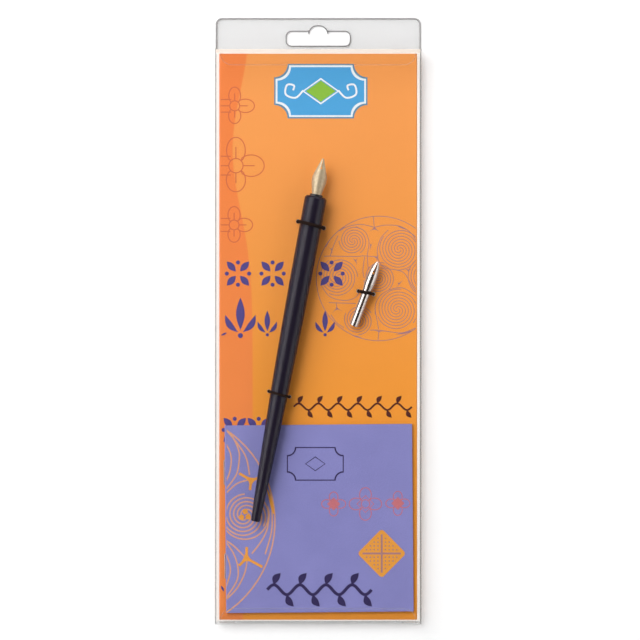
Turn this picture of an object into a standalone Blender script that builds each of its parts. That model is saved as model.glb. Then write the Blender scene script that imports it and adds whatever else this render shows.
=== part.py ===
"""A clear hang box with a calligraphy set in it: a dip pen and a spare nib held on a card by elastic
loops, and a small stapled booklet below them.

The pack lies on its back. X runs across it, Y runs up it to the hanging header, and Z is its depth,
with the front up. The origin is the middle of its underside. Lengths are in metres."""

import math

import bmesh
import bpy
from mathutils import Matrix, Vector

# Room between pieces, and how far a cutter overruns what it cuts
GAP = 0.0003
PAPER_GAP = 0.0001
CUT_OVERRUN = 0.002

# Points this close together are one point
WELD = 0.000001

# How finely round forms are divided
ARC_STEP = math.radians(18)
BARREL_SEGMENTS = 40
SOCKET_SEGMENTS = 32
PRONG_SEGMENTS = 24
HOLE_SEGMENTS = 20
KNOT_SEGMENTS = 14
KNOT_BANDS = 8
CORD_BEVEL_STEPS = 2

# Clear sheet that the box is folded from
SHEET = 0.0003
CREASE_RADIUS = 0.0005

# Booklet
BOOKLET_SIDE = 0.0920
BOOKLET_THICKNESS = 0.0012
BOOKLET_COVER = 0.0002
BOOKLET_TURN = math.radians(0.5)
BOOKLET_OFF_CENTRE = 0.00045
BOOKLET_FROM_BOTTOM = 0.0053
BOOKLET_SPINE_RADIUS = 0.0005
PAGES_SHORTER = 0.0005
STAPLE_WIRE = 0.0005
STAPLE_CROWN = 0.0120
STAPLE_LEG = 0.0022
STAPLE_SPREAD = 0.0460
STAPLE_BEND = 0.0004

# Backing card, a tray turned back along both sides
CARD_THICKNESS = 0.0005
CARD_SIDE_PLAY = 0.00155
CARD_BESIDE_BOOKLET = 0.00265
CARD_FOLD_RADIUS = 0.0007

# Pen holder, measured along its own axis from the end that takes the nib
PEN_LENGTH = 0.1620
PEN_LEAN = math.radians(10.6)
PEN_TAIL_X = -0.0308
PEN_RADIUS = 0.0054
PEN_TAIL_RADIUS = 0.00225
PEN_TAPER_POWER = 2.2
PEN_END_BEVEL_LENGTH = 0.0011
PEN_END_BEVEL_DEPTH = 0.0008
PEN_TAIL_ROUNDING = 0.0008
PEN_RINGS = 22
ROOM_ABOVE_NIB = 0.0532
ROOM_BELOW_PEN = 0.0500

# Socket in the pen holder, with the prongs that grip a nib from inside
SOCKET_WALL = 0.0007
SOCKET_ROOM_BELOW_NIB = 0.0031
SOCKET_PROUD = 0.0010
SOCKET_FLOOR = 0.0008
PRONG_WALL = 0.0004
PRONG_LENGTH = 0.0100
PRONG_SLOT = 0.0006
PRONG_ROOT = 0.0015

# Nibs: rolled shank, leaf, vent hole and slit
NIB_LENGTH = 0.0335
NIB_SHEET = 0.0003
NIB_SHANK_RADIUS = 0.00215
NIB_SHOULDER_IN_MOUTH = 0.0012
NIB_SLIT = 0.00016
WRITING_VENT_RADIUS = 0.00045
SPARE_VENT_RADIUS = 0.00050
NIB_RINGS = 30
NIB_RING_CROWDING = 1.3
NIB_STRIPS = 14
# Rows of: distance from the tip, radius, height of the crown over the axis, half the wrap in degrees
WRITING_LEAF_SHARES = (
    (0.00, 0.23, 0.62, 60),
    (0.05, 0.55, 0.78, 58),
    (0.12, 1.02, 0.92, 58),
    (0.20, 1.42, 1.00, 65),
    (0.28, 1.70, 1.04, 80),
    (0.36, 1.64, 1.04, 84),
    (0.46, 1.32, 1.02, 100),
    (0.54, 1.07, 1.00, 135),
    (0.60, 1.00, 1.00, 150),
    (1.00, 1.00, 1.00, 150),
)
SPARE_LEAF_SHARES = (
    (0.00, 0.26, 0.72, 62),
    (0.04, 0.66, 0.86, 66),
    (0.10, 0.98, 0.98, 76),
    (0.18, 1.17, 1.08, 88),
    (0.26, 1.24, 1.14, 100),
    (0.36, 1.22, 1.14, 115),
    (0.43, 1.06, 1.04, 135),
    (0.47, 1.00, 1.00, 150),
    (1.00, 1.00, 1.00, 150),
)
WRITING_VENT_SHARE = 0.145
SPARE_VENT_SHARE = 0.180

# Spare nib, placed by its tip
SPARE_LEAN = math.radians(20.6)
SPARE_TIP_X = 0.0292
SPARE_TIP_BELOW_TOP = 0.1037

# Elastic loops: place along the pen or nib, cord, and turn from square to it
UPPER_LOOP_AT = 0.0140
UPPER_LOOP_CORD = 0.0016
UPPER_LOOP_SKEW = math.radians(3.9)
LOWER_LOOP_OVER_BOOKLET = 0.0153
LOWER_LOOP_CORD = 0.0012
LOWER_LOOP_SKEW = math.radians(4.7)
NIB_LOOP_AT = 0.0162
NIB_LOOP_CORD = 0.0015
NIB_LOOP_SKEW = math.radians(-8.9)
NIB_LOOP_SPLAY = 0.0008
KNOT_LENGTH_SHARE = 2.6
KNOT_THICKNESS_SHARE = 1.6
KNOT_ROOM = 0.00014
TAIL_LENGTH_SHARE = 3.2
TAIL_TURN = math.radians(70)

# Lids and dust flaps
HEAD_ROOM = 0.00075
TONGUE_LENGTH = 0.0080
TONGUE_LEAN = math.radians(14)
TONGUE_INSET = 0.0020
TONGUE_CORNER = 0.0060
FLAP_CORNER = 0.0015
# The flap's outline: distance from the lid's hinge, then reach from the side wall
FLAP_SHARES = ((0.050, 0.000), (0.590, 0.515), (0.730, 0.535), (0.900, 0.300), (0.925, 0.000))

# Hanging header with its slot
HEADER_HEIGHT = 0.0164
HEADER_CORNER = 0.0030
SLOT_WIDTH = 0.0320
SLOT_WING_HEIGHT = 0.0077
SLOT_WING_CORNER = 0.0029
SLOT_OVER_BODY = 0.0023
SLOT_DOME_WIDTH = 0.0098
SLOT_DOME_TOP = 0.0064
SLOT_DOME_RISE = 0.0026
SLOT_DOME_CORNER = 0.0044
SLOT_DOME_FOOT = 0.0003

# Places worked out from the sizes above, from the back of the box forwards
BACK_WALL = SHEET + GAP
CARD_FOOT = BACK_WALL + SHEET + GAP
LID_HINGE_Z = CARD_FOOT
THICKEST_CORD = max(UPPER_LOOP_CORD, LOWER_LOOP_CORD, NIB_LOOP_CORD)
CARD_BACK = CARD_FOOT + KNOT_ROOM + KNOT_THICKNESS_SHARE * THICKEST_CORD + GAP
CARD_TOP = CARD_BACK + CARD_THICKNESS
BOOKLET_BASE = CARD_TOP + GAP

# Places up the box
NIB_SHOULDER_SHARE = WRITING_LEAF_SHARES[-2][0]
NIB_STAND_OUT = NIB_SHOULDER_SHARE * NIB_LENGTH - NIB_SHOULDER_IN_MOUTH
SET_LENGTH = (PEN_LENGTH + NIB_STAND_OUT) * math.cos(PEN_LEAN)
BODY_LENGTH = ROOM_BELOW_PEN + SET_LENGTH + ROOM_ABOVE_NIB
BODY_BOTTOM = -(BODY_LENGTH + HEADER_HEIGHT) / 2
BODY_TOP = BODY_BOTTOM + BODY_LENGTH
HEADER_TOP = BODY_TOP + HEADER_HEIGHT
CARD_BOTTOM = BODY_BOTTOM + 2 * SHEET + 3 * GAP
CARD_END = BODY_TOP - 2 * SHEET - 3 * GAP
BOOKLET_Y = BODY_BOTTOM + BOOKLET_FROM_BOTTOM + BOOKLET_SIDE / 2

# Places across the box
CARD_WIDTH = BOOKLET_SIDE + 2 * CARD_BESIDE_BOOKLET
BODY_WIDTH = CARD_WIDTH + 2 * (CARD_SIDE_PLAY + SHEET)
SIDE_WALL = BODY_WIDTH / 2 - SHEET


def barrel_radius(along):
    """The pen holder's radius at this distance from the nib's end."""
    share = along / PEN_LENGTH
    return PEN_TAIL_RADIUS + (PEN_RADIUS - PEN_TAIL_RADIUS) * (1 - share**PEN_TAPER_POWER)


# The pen lies level, on the card and on the booklet's top edge, whichever holds it higher
TAIL_Y = BODY_BOTTOM + ROOM_BELOW_PEN
PEN_DIRECTION = Vector((math.sin(PEN_LEAN), math.cos(PEN_LEAN)))
PEN_HEAD = Vector((PEN_TAIL_X, TAIL_Y)) + PEN_DIRECTION * PEN_LENGTH
BOOKLET_EDGE_ALONG = (PEN_HEAD.y - BOOKLET_Y - BOOKLET_SIDE / 2) / math.cos(PEN_LEAN)
PEN_Z = CARD_TOP + GAP + max(
    PEN_RADIUS, GAP + BOOKLET_THICKNESS + barrel_radius(BOOKLET_EDGE_ALONG)
)
LOWER_LOOP_AT = BOOKLET_EDGE_ALONG - LOWER_LOOP_OVER_BOOKLET
UPPER_LOOP_RADIUS = barrel_radius(UPPER_LOOP_AT) + GAP + UPPER_LOOP_CORD / 2
LOWER_LOOP_RADIUS = barrel_radius(LOWER_LOOP_AT) + GAP + LOWER_LOOP_CORD / 2
NIB_LOOP_RADIUS = NIB_SHANK_RADIUS + GAP + NIB_LOOP_CORD / 2
FRONT_WALL = PEN_Z + UPPER_LOOP_RADIUS + UPPER_LOOP_CORD / 2 + HEAD_ROOM
BODY_DEPTH = FRONT_WALL + SHEET
LID_DEPTH = FRONT_WALL - GAP - LID_HINGE_Z

SOCKET_DEPTH = NIB_LENGTH - NIB_STAND_OUT + SOCKET_ROOM_BELOW_NIB + SOCKET_FLOOR
SOCKET_BORE = NIB_SHANK_RADIUS + GAP
SOCKET_RADIUS = SOCKET_BORE + SOCKET_WALL
BARREL_BORE = SOCKET_RADIUS + GAP
PRONG_RADIUS = NIB_SHANK_RADIUS - NIB_SHEET - GAP
SPARE_TIP = Vector((SPARE_TIP_X, BODY_TOP - SPARE_TIP_BELOW_TOP))
SPARE_DIRECTION = Vector((math.sin(SPARE_LEAN), math.cos(SPARE_LEAN)))
SPARE_DROP = max(radius for _, radius, _, _ in SPARE_LEAF_SHARES) * NIB_SHANK_RADIUS
SPARE_Z = CARD_TOP + GAP + SPARE_DROP

# Colour, roughness, metallic and alpha of each finish
FINISHES = {
    "clear_pet": ((0.92, 0.93, 0.94), 0.08, 0.0, 0.25),
    "orange_card": ((0.88, 0.33, 0.06), 0.45, 0.0, 1.0),
    "violet_cover": ((0.23, 0.22, 0.52), 0.40, 0.0, 1.0),
    "white_paper": ((0.86, 0.85, 0.82), 0.70, 0.0, 1.0),
    "staple_wire": ((0.62, 0.62, 0.64), 0.30, 1.0, 1.0),
    "dark_lacquer": ((0.012, 0.010, 0.022), 0.22, 0.0, 1.0),
    "black_plastic": ((0.010, 0.010, 0.012), 0.35, 0.0, 1.0),
    "pale_gilt": ((0.80, 0.66, 0.42), 0.24, 1.0, 1.0),
    "nickel_plate": ((0.78, 0.77, 0.75), 0.16, 1.0, 1.0),
    "dark_elastic": ((0.030, 0.012, 0.006), 0.75, 0.0, 1.0),
}


def empty_the_scene():
    for obj in list(bpy.data.objects):
        bpy.data.objects.remove(obj)
    for collection in list(bpy.data.collections):
        bpy.data.collections.remove(collection)


def new_collection(name, hidden=False):
    collection = bpy.data.collections.new(name)
    collection.hide_render = hidden
    bpy.context.scene.collection.children.link(collection)
    return collection


def finish(name):
    """The material of this name, made the first time that it is asked for."""
    if name in bpy.data.materials:
        return bpy.data.materials[name]
    colour, roughness, metallic, alpha = FINISHES[name]
    material = bpy.data.materials.new(name)
    material.use_nodes = True
    shader = material.node_tree.nodes["Principled BSDF"]
    shader.inputs["Base Color"].default_value = (*colour, 1.0)
    shader.inputs["Roughness"].default_value = roughness
    shader.inputs["Metallic"].default_value = metallic
    shader.inputs["Alpha"].default_value = alpha
    return material


def rounded(corners, closed=True):
    """The points of an outline through corners of (x, y, radius), each corner an arc of its radius."""
    points = []
    for i, (x, y, radius) in enumerate(corners):
        here = Vector((x, y))
        if not radius or (not closed and i in (0, len(corners) - 1)):
            points.append(here)
            continue
        before = (Vector(corners[i - 1][:2]) - here).normalized()
        after = (Vector(corners[(i + 1) % len(corners)][:2]) - here).normalized()
        half = before.angle(after) / 2
        centre = here + (before + after).normalized() * (radius / math.sin(half))
        start = here + before * (radius / math.tan(half)) - centre
        turn = math.copysign(math.pi - 2 * half, after.cross(before))
        steps = max(2, round(abs(turn) / ARC_STEP))
        for step in range(steps + 1):
            points.append(centre + Matrix.Rotation(turn * step / steps, 2) @ start)
    kept = [] if closed else points[:1]
    for i in range(0 if closed else 1, len(points)):
        if (points[i] - points[i - 1]).length > WELD:
            kept.append(points[i])
    return kept


def add_object(name, data, parent=None, matrix=None, material=None, collection=None):
    obj = bpy.data.objects.new(name, data)
    (collection or PACK).objects.link(obj)
    obj.parent = parent
    if matrix is not None:
        obj.matrix_local = matrix
    if material:
        data.materials.append(finish(material))
    return obj


def pivot(name, location, rotation=(0, 0, 0)):
    """An empty that carries the pieces of one moving body, or that sets a piece's place."""
    empty = bpy.data.objects.new(name, None)
    PACK.objects.link(empty)
    empty.location = location
    empty.rotation_euler = rotation
    bpy.context.view_layer.update()
    return empty


def as_mesh(obj):
    """The curve object made a mesh object in its place, with its caps welded on."""
    bpy.context.view_layer.update()
    graph = bpy.context.evaluated_depsgraph_get()
    mesh = bpy.data.meshes.new_from_object(obj.evaluated_get(graph))
    work = bmesh.new()
    work.from_mesh(mesh)
    bmesh.ops.remove_doubles(work, verts=work.verts, dist=WELD)
    bmesh.ops.recalc_face_normals(work, faces=work.faces)
    work.to_mesh(mesh)
    work.free()
    name, parent, collection = obj.name, obj.parent, obj.users_collection[0]
    world = obj.matrix_world.copy()
    bpy.data.objects.remove(obj)
    result = bpy.data.objects.new(name, mesh)
    collection.objects.link(result)
    result.parent = parent
    result.matrix_world = world
    return result


def plate(name, outline, thickness, matrix, material=None, parent=None, collection=None):
    """A flat piece: the outline in its own XY plane, with half the thickness on each side of it."""
    curve = bpy.data.curves.new(name, "CURVE")
    curve.dimensions = "2D"
    curve.fill_mode = "BOTH"
    curve.extrude = thickness / 2
    spline = curve.splines.new("POLY")
    spline.points.add(len(outline) - 1)
    for point, (x, y) in zip(spline.points, outline):
        point.co = (x, y, 0, 1)
    spline.use_cyclic_u = True
    return as_mesh(add_object(name, curve, parent, matrix, material, collection))


def tube(name, route, diameter, material, parent=None, cyclic=False):
    """A round wire or cord along the points of its route."""
    curve = bpy.data.curves.new(name, "CURVE")
    curve.dimensions = "3D"
    curve.bevel_depth = diameter / 2
    curve.bevel_resolution = CORD_BEVEL_STEPS
    curve.use_fill_caps = True
    spline = curve.splines.new("POLY")
    spline.points.add(len(route) - 1)
    for point, co in zip(spline.points, route):
        point.co = (*co, 1)
    spline.use_cyclic_u = cyclic
    obj = as_mesh(add_object(name, curve, parent, Matrix(), material))
    obj.data.shade_smooth()
    return obj


def bent_sheet(name, profile, span, thickness, matrix, material, parent=None):
    """A sheet folded along a profile in its XZ plane, as wide as the span along Y. The profile is its
    outer face, and the sheet's thickness lies to the right of it."""
    work = bmesh.new()
    points = [work.verts.new((x, -span / 2, z)) for x, z in profile]
    edges = [work.edges.new(pair) for pair in zip(points, points[1:])]
    swept = bmesh.ops.extrude_edge_only(work, edges=edges)["geom"]
    far = [part for part in swept if isinstance(part, bmesh.types.BMVert)]
    bmesh.ops.translate(work, verts=far, vec=(0, span, 0))
    bmesh.ops.reverse_faces(work, faces=work.faces)
    mesh = bpy.data.meshes.new(name)
    work.to_mesh(mesh)
    work.free()
    obj = add_object(name, mesh, parent, matrix, material)
    solidify(obj, thickness)
    return obj


def solidify(obj, thickness):
    wall = obj.modifiers.new("Wall", "SOLIDIFY")
    wall.thickness = thickness
    wall.offset = -1
    wall.use_even_offset = True


def turned(name, profile, segments, material, parent=None):
    """A piece turned about its Z axis from (radius, z) points that run down its outer side."""
    mesh = bpy.data.meshes.new(name)
    edges = [(i, i + 1) for i in range(len(profile) - 1)]
    mesh.from_pydata([(radius, 0, z) for radius, z in profile], edges, [])
    obj = add_object(name, mesh, parent, Matrix(), material)
    screw = obj.modifiers.new("Turn", "SCREW")
    screw.steps = screw.render_steps = segments
    screw.use_merge_vertices = True
    screw.merge_threshold = WELD
    screw.use_smooth_shade = True
    return obj


def block(name, size, matrix, parent=None):
    """A box cutter, centred on its own origin."""
    mesh = bpy.data.meshes.new(name)
    work = bmesh.new()
    bmesh.ops.create_cube(work, size=1, matrix=Matrix.Diagonal((*size, 1)))
    work.to_mesh(mesh)
    work.free()
    return as_cutter(add_object(name, mesh, parent, matrix, collection=CUTTERS))


def rod(name, radius, length, matrix, parent=None):
    """A round cutter along its own Z axis, centred on its own origin."""
    mesh = bpy.data.meshes.new(name)
    work = bmesh.new()
    bmesh.ops.create_cone(
        work, cap_ends=True, segments=HOLE_SEGMENTS, radius1=radius, radius2=radius, depth=length
    )
    work.to_mesh(mesh)
    work.free()
    return as_cutter(add_object(name, mesh, parent, matrix, collection=CUTTERS))


def as_cutter(obj):
    obj.hide_render = True
    obj.display_type = "WIRE"
    return obj


def combine(obj, other, operation="DIFFERENCE"):
    change = obj.modifiers.new(other.name, "BOOLEAN")
    change.operation = operation
    change.object = other


def across(outward):
    """Axes for a piece whose own X lies across the box, Y runs forwards and Z faces this way in Y."""
    return Matrix(((-outward, 0, 0), (0, 0, outward), (0, 1, 0))).to_4x4()


def make_sleeve():
    """The four walls. One free edge of the back wall meets the side wall, where it is glued."""
    half, floor = BODY_WIDTH / 2, BACK_WALL
    corners = (
        (-half, floor, 0),
        (-half, BODY_DEPTH, CREASE_RADIUS),
        (half, BODY_DEPTH, CREASE_RADIUS),
        (half, floor, CREASE_RADIUS),
        (-half + SHEET + GAP, floor, 0),
    )
    middle = Matrix.Translation((0, (BODY_BOTTOM + BODY_TOP) / 2, 0))
    bent_sheet(
        "box_sleeve", rounded(corners, closed=False), BODY_LENGTH, SHEET, middle, "clear_pet"
    )


def slot_outline():
    """The hanging slot: two wings with a dome over their middle."""
    wing, base, dome = SLOT_WIDTH / 2, SLOT_DOME_WIDTH / 2, SLOT_DOME_TOP / 2
    top = SLOT_WING_HEIGHT + SLOT_DOME_RISE
    right = (
        (wing, 0, SLOT_WING_CORNER),
        (wing, SLOT_WING_HEIGHT, SLOT_WING_CORNER),
        (base, SLOT_WING_HEIGHT, SLOT_DOME_FOOT),
        (dome, top, SLOT_DOME_CORNER),
    )
    left = tuple((-x, y, radius) for x, y, radius in reversed(right))
    return rounded(right + left)


def corner_waste(side):
    """What a rounded top corner of the header leaves off on this side, with room around it."""
    edge, top = BODY_WIDTH / 2, HEADER_TOP
    steps = round(math.radians(90) / ARC_STEP)
    angles = [math.radians(90) * step / steps for step in range(steps + 1)]
    arc = [
        (edge - HEADER_CORNER * (1 - math.sin(a)), top - HEADER_CORNER * (1 - math.cos(a)))
        for a in angles
    ]
    outside = [
        (edge + CUT_OVERRUN, top - HEADER_CORNER),
        (edge + CUT_OVERRUN, top + CUT_OVERRUN),
        (edge - HEADER_CORNER, top + CUT_OVERRUN),
    ]
    return [(side * x, y) for x, y in arc + outside]


def make_hanger():
    """The fifth panel, glued behind the back wall, and the header that it is doubled over to make."""
    front_face = 3 * SHEET
    fold = front_face / 2
    corners = (
        (BODY_TOP + GAP, front_face, 0),
        (HEADER_TOP, front_face, fold),
        (HEADER_TOP, 0, fold),
        (BODY_BOTTOM, 0, 0),
    )
    turned_up = Matrix.Rotation(math.radians(90), 4, "Z")
    panel = bent_sheet(
        "hanger_panel", rounded(corners, closed=False), BODY_WIDTH, SHEET, turned_up, "clear_pet"
    )
    thickness = front_face + 2 * CUT_OVERRUN
    for side in (-1, 1):
        die = plate(
            "corner_die", corner_waste(side), thickness, Matrix(), collection=CUTTERS
        )
        combine(panel, as_cutter(die))
    place = Matrix.Translation((0, BODY_TOP + SLOT_OVER_BODY, 0))
    slot = plate("slot_die", slot_outline(), thickness, place, collection=CUTTERS)
    combine(panel, as_cutter(slot))


def make_lid(end, edge, outward):
    """A lid hinged on the back wall, with the tongue that tucks behind the front wall."""
    hinge = pivot(f"{end}_lid_hinge", (0, edge, LID_HINGE_Z))
    wide = SIDE_WALL - GAP
    narrow = wide - TONGUE_INSET
    corners = (
        (-wide, 0, 0),
        (wide, 0, 0),
        (wide, LID_DEPTH, 0),
        (narrow, LID_DEPTH, 0),
        (narrow, LID_DEPTH + TONGUE_LENGTH, TONGUE_CORNER),
        (-narrow, LID_DEPTH + TONGUE_LENGTH, TONGUE_CORNER),
        (-narrow, LID_DEPTH, 0),
        (-wide, LID_DEPTH, 0),
    )
    work = bmesh.new()
    work.faces.new([work.verts.new((x, y, 0)) for x, y in rounded(corners)])
    crease = Vector((0, LID_DEPTH, 0))
    everything = work.verts[:] + work.edges[:] + work.faces[:]
    bmesh.ops.bisect_plane(work, geom=everything, plane_co=crease, plane_no=(0, 1, 0))
    tongue = [v for v in work.verts if v.co.y > LID_DEPTH + PAPER_GAP]
    fold = Matrix.Rotation(-math.radians(90) - TONGUE_LEAN, 4, "X")
    bmesh.ops.rotate(work, verts=tongue, cent=crease, matrix=fold)
    mesh = bpy.data.meshes.new(f"{end}_lid")
    work.to_mesh(mesh)
    work.free()
    lid = add_object(f"{end}_lid", mesh, hinge, across(outward), "clear_pet")
    solidify(lid, SHEET)


def make_dust_flap(end, side, edge, outward):
    """A flap on a side wall, under the lid. Its tapered edges let it follow the lid as that opens."""
    name = f"{end}_dust_flap_{'right' if side > 0 else 'left'}"
    hinge = pivot(
        f"{name}_hinge", (side * (SIDE_WALL - GAP), edge - outward * (SHEET + GAP), LID_HINGE_Z)
    )
    corners = [
        (-side * outward * reach * LID_DEPTH, along * LID_DEPTH, FLAP_CORNER if reach else 0)
        for along, reach in FLAP_SHARES
    ]
    place = across(outward)
    place.translation = (0, -outward * SHEET / 2, 0)
    outline = [(-x, y) for x, y in rounded(corners)]
    plate(name, outline, SHEET, place, "clear_pet", hinge)


def make_card():
    """The printed card: a tray face, with both long sides turned back to stand on the back wall."""
    half = CARD_WIDTH / 2
    corners = (
        (-half, CARD_FOOT, 0),
        (-half, CARD_TOP, CARD_FOLD_RADIUS),
        (half, CARD_TOP, CARD_FOLD_RADIUS),
        (half, CARD_FOOT, 0),
    )
    profile = rounded(corners, closed=False)
    middle = Matrix.Translation((0, (CARD_BOTTOM + CARD_END) / 2, 0))
    return bent_sheet(
        "backing_card", profile, CARD_END - CARD_BOTTOM, CARD_THICKNESS, middle, "orange_card"
    )


def make_booklet():
    """A saddle-stitched booklet, its spine on the left, held shut by the pen that lies over it."""
    middle = (BOOKLET_OFF_CENTRE, BOOKLET_Y, BOOKLET_BASE)
    place = pivot("booklet_place", middle, (0, 0, BOOKLET_TURN))
    half, top = BOOKLET_SIDE / 2, BOOKLET_THICKNESS
    corners = (
        (half, 0, 0),
        (-half, 0, BOOKLET_SPINE_RADIUS),
        (-half, top, BOOKLET_SPINE_RADIUS),
        (half, top, 0),
    )
    cover = bent_sheet(
        "booklet_cover",
        rounded(corners, closed=False),
        BOOKLET_SIDE,
        BOOKLET_COVER,
        Matrix(),
        "violet_cover",
        place,
    )
    skin = BOOKLET_COVER + PAPER_GAP
    spine = -half + skin
    spine_rounding = BOOKLET_SPINE_RADIUS - BOOKLET_COVER
    corners = (
        (spine, -skin, spine_rounding),
        (spine, -(top - skin), spine_rounding),
        (half - PAGES_SHORTER, -(top - skin), 0),
        (half - PAGES_SHORTER, -skin, 0),
    )
    upright = Matrix.Rotation(math.radians(-90), 4, "X")
    pages_length = BOOKLET_SIDE - 2 * PAGES_SHORTER
    pages = plate("booklet_pages", rounded(corners), pages_length, upright, "white_paper", place)
    wire_hole = STAPLE_WIRE / 2 + PAPER_GAP
    crown = -half - PAPER_GAP - STAPLE_WIRE / 2
    tip = crown + STAPLE_LEG
    for number, middle in enumerate((-STAPLE_SPREAD / 2, STAPLE_SPREAD / 2), 1):
        low, high = middle - STAPLE_CROWN / 2, middle + STAPLE_CROWN / 2
        wire = ((tip, low, 0), (crown, low, STAPLE_BEND), (crown, high, STAPLE_BEND), (tip, high, 0))
        route = [(x, y, top / 2) for x, y in rounded(wire, closed=False)]
        tube(f"booklet_staple_{number}", route, STAPLE_WIRE, "staple_wire", place)
        for y in (low, high):
            start, end = crown - CUT_OVERRUN, tip + PAPER_GAP
            along = Matrix.Translation(((start + end) / 2, y, top / 2))
            along @= Matrix.Rotation(math.radians(90), 4, "Y")
            hole = rod(f"staple_hole_{number}", wire_hole, end - start, along, place)
            combine(cover, hole)
            combine(pages, hole)


def lying(name, head, lean, height):
    """A pivot whose Z axis lies along a pen or a nib, towards its tip, with its -Y facing up."""
    return pivot(name, (head.x, head.y, height), (-math.radians(90), 0, -lean))


def make_holder(axis):
    """The tapered pen holder with its blind bore, the socket in it and the socket's prongs."""
    bore_floor = -(SOCKET_DEPTH + GAP)
    shares = [ring / PEN_RINGS for ring in range(1, PEN_RINGS)]
    body = [(barrel_radius(PEN_LENGTH * share), -PEN_LENGTH * share) for share in shares]
    cut_back = PEN_TAIL_ROUNDING * (1 - math.cos(math.radians(45)))
    tail = [
        (PEN_TAIL_RADIUS, -PEN_LENGTH + PEN_TAIL_ROUNDING),
        (PEN_TAIL_RADIUS - cut_back, -PEN_LENGTH + cut_back),
        (PEN_TAIL_RADIUS - PEN_TAIL_ROUNDING, -PEN_LENGTH),
        (0, -PEN_LENGTH),
    ]
    head = [
        (0, bore_floor),
        (BARREL_BORE, bore_floor),
        (BARREL_BORE, 0),
        (PEN_RADIUS - PEN_END_BEVEL_DEPTH, 0),
        (barrel_radius(PEN_END_BEVEL_LENGTH), -PEN_END_BEVEL_LENGTH),
    ]
    turned("pen_holder", head + body + tail, BARREL_SEGMENTS, "dark_lacquer", axis)
    floor = SOCKET_FLOOR - SOCKET_DEPTH
    socket = [
        (0, floor),
        (SOCKET_BORE, floor),
        (SOCKET_BORE, SOCKET_PROUD),
        (SOCKET_RADIUS, SOCKET_PROUD),
        (SOCKET_RADIUS, -SOCKET_DEPTH),
        (0, -SOCKET_DEPTH),
    ]
    turned("nib_socket", socket, SOCKET_SEGMENTS, "black_plastic", axis)
    foot = floor + GAP
    inner = PRONG_RADIUS - PRONG_WALL
    fingers = [
        (0, foot + PRONG_ROOT),
        (inner, foot + PRONG_ROOT),
        (inner, foot + PRONG_LENGTH),
        (PRONG_RADIUS, foot + PRONG_LENGTH),
        (PRONG_RADIUS, foot),
        (0, foot),
    ]
    prongs = turned("socket_prongs", fingers, PRONG_SEGMENTS, "nickel_plate", axis)
    length = PRONG_LENGTH - PRONG_ROOT
    middle = foot + PRONG_ROOT + (length + CUT_OVERRUN) / 2
    size = (PRONG_SLOT, 2 * PRONG_RADIUS + CUT_OVERRUN, length + CUT_OVERRUN)
    for turn in (0, math.radians(90)):
        place = Matrix.Translation((0, 0, middle)) @ Matrix.Rotation(turn, 4, "Z")
        combine(prongs, block("prong_slot", size, place, axis))


def between(rows, share):
    """The row of a table at this share of the length, on a smooth curve through the rows."""
    last = len(rows) - 1
    at = max(i for i in range(last) if rows[i][0] <= share)
    four = [rows[min(max(i, 0), last)] for i in (at - 1, at, at + 1, at + 2)]
    span = four[2][0] - four[1][0]
    t = (share - four[1][0]) / span
    result = []
    for column in range(1, len(rows[0])):
        a, b, c, d = (row[column] for row in four)
        before = (c - a) / max(four[2][0] - four[0][0], span) * span
        after = (d - b) / max(four[3][0] - four[1][0], span) * span
        curve = (2 * b - 2 * c + before + after) * t**3
        curve += (3 * c - 3 * b - 2 * before - after) * t**2
        result.append(curve + before * t + b)
    return result


def make_nib(name, rows, vent_share, vent_radius, material, parent, tip):
    """A nib bent from sheet: a leaf that rolls up into a slit tube, with a vent and a writing slit."""
    work = bmesh.new()
    grid = []
    for ring in range(NIB_RINGS + 1):
        share = (ring / NIB_RINGS) ** NIB_RING_CROWDING
        radius, crown, wrap = between(rows, share)
        radius *= NIB_SHANK_RADIUS
        centre = crown * NIB_SHANK_RADIUS - radius
        strip = []
        for column in range(NIB_STRIPS + 1):
            angle = math.radians(wrap) * (2 * column / NIB_STRIPS - 1)
            up = centre + radius * math.cos(angle)
            strip.append(work.verts.new((radius * math.sin(angle), -up, tip - share * NIB_LENGTH)))
        grid.append(strip)
    for upper, lower in zip(grid, grid[1:]):
        for i in range(NIB_STRIPS):
            work.faces.new((upper[i], lower[i], lower[i + 1], upper[i + 1]))
    mesh = bpy.data.meshes.new(name)
    work.to_mesh(mesh)
    work.free()
    nib = add_object(name, mesh, parent, Matrix(), material)
    mesh.shade_smooth()
    solidify(nib, NIB_SHEET)
    vent = tip - vent_share * NIB_LENGTH
    drop = NIB_SHANK_RADIUS
    flat = Matrix.Translation((0, -drop, vent)) @ Matrix.Rotation(math.radians(90), 4, "X")
    combine(nib, rod(f"{name}_vent", vent_radius, 2 * drop, flat, parent))
    length = vent_share * NIB_LENGTH + CUT_OVERRUN
    place = Matrix.Translation((0, -drop, vent + length / 2))
    combine(nib, block(f"{name}_slit", (NIB_SLIT, 2 * drop, length), place, parent))


def leg_lean(foot, rise, radius):
    """How far a loop's leg leans, from its foot to where it touches an arch of this radius."""
    reach = math.hypot(foot, rise)
    return math.acos(radius / reach) - math.atan(rise / foot)


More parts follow.
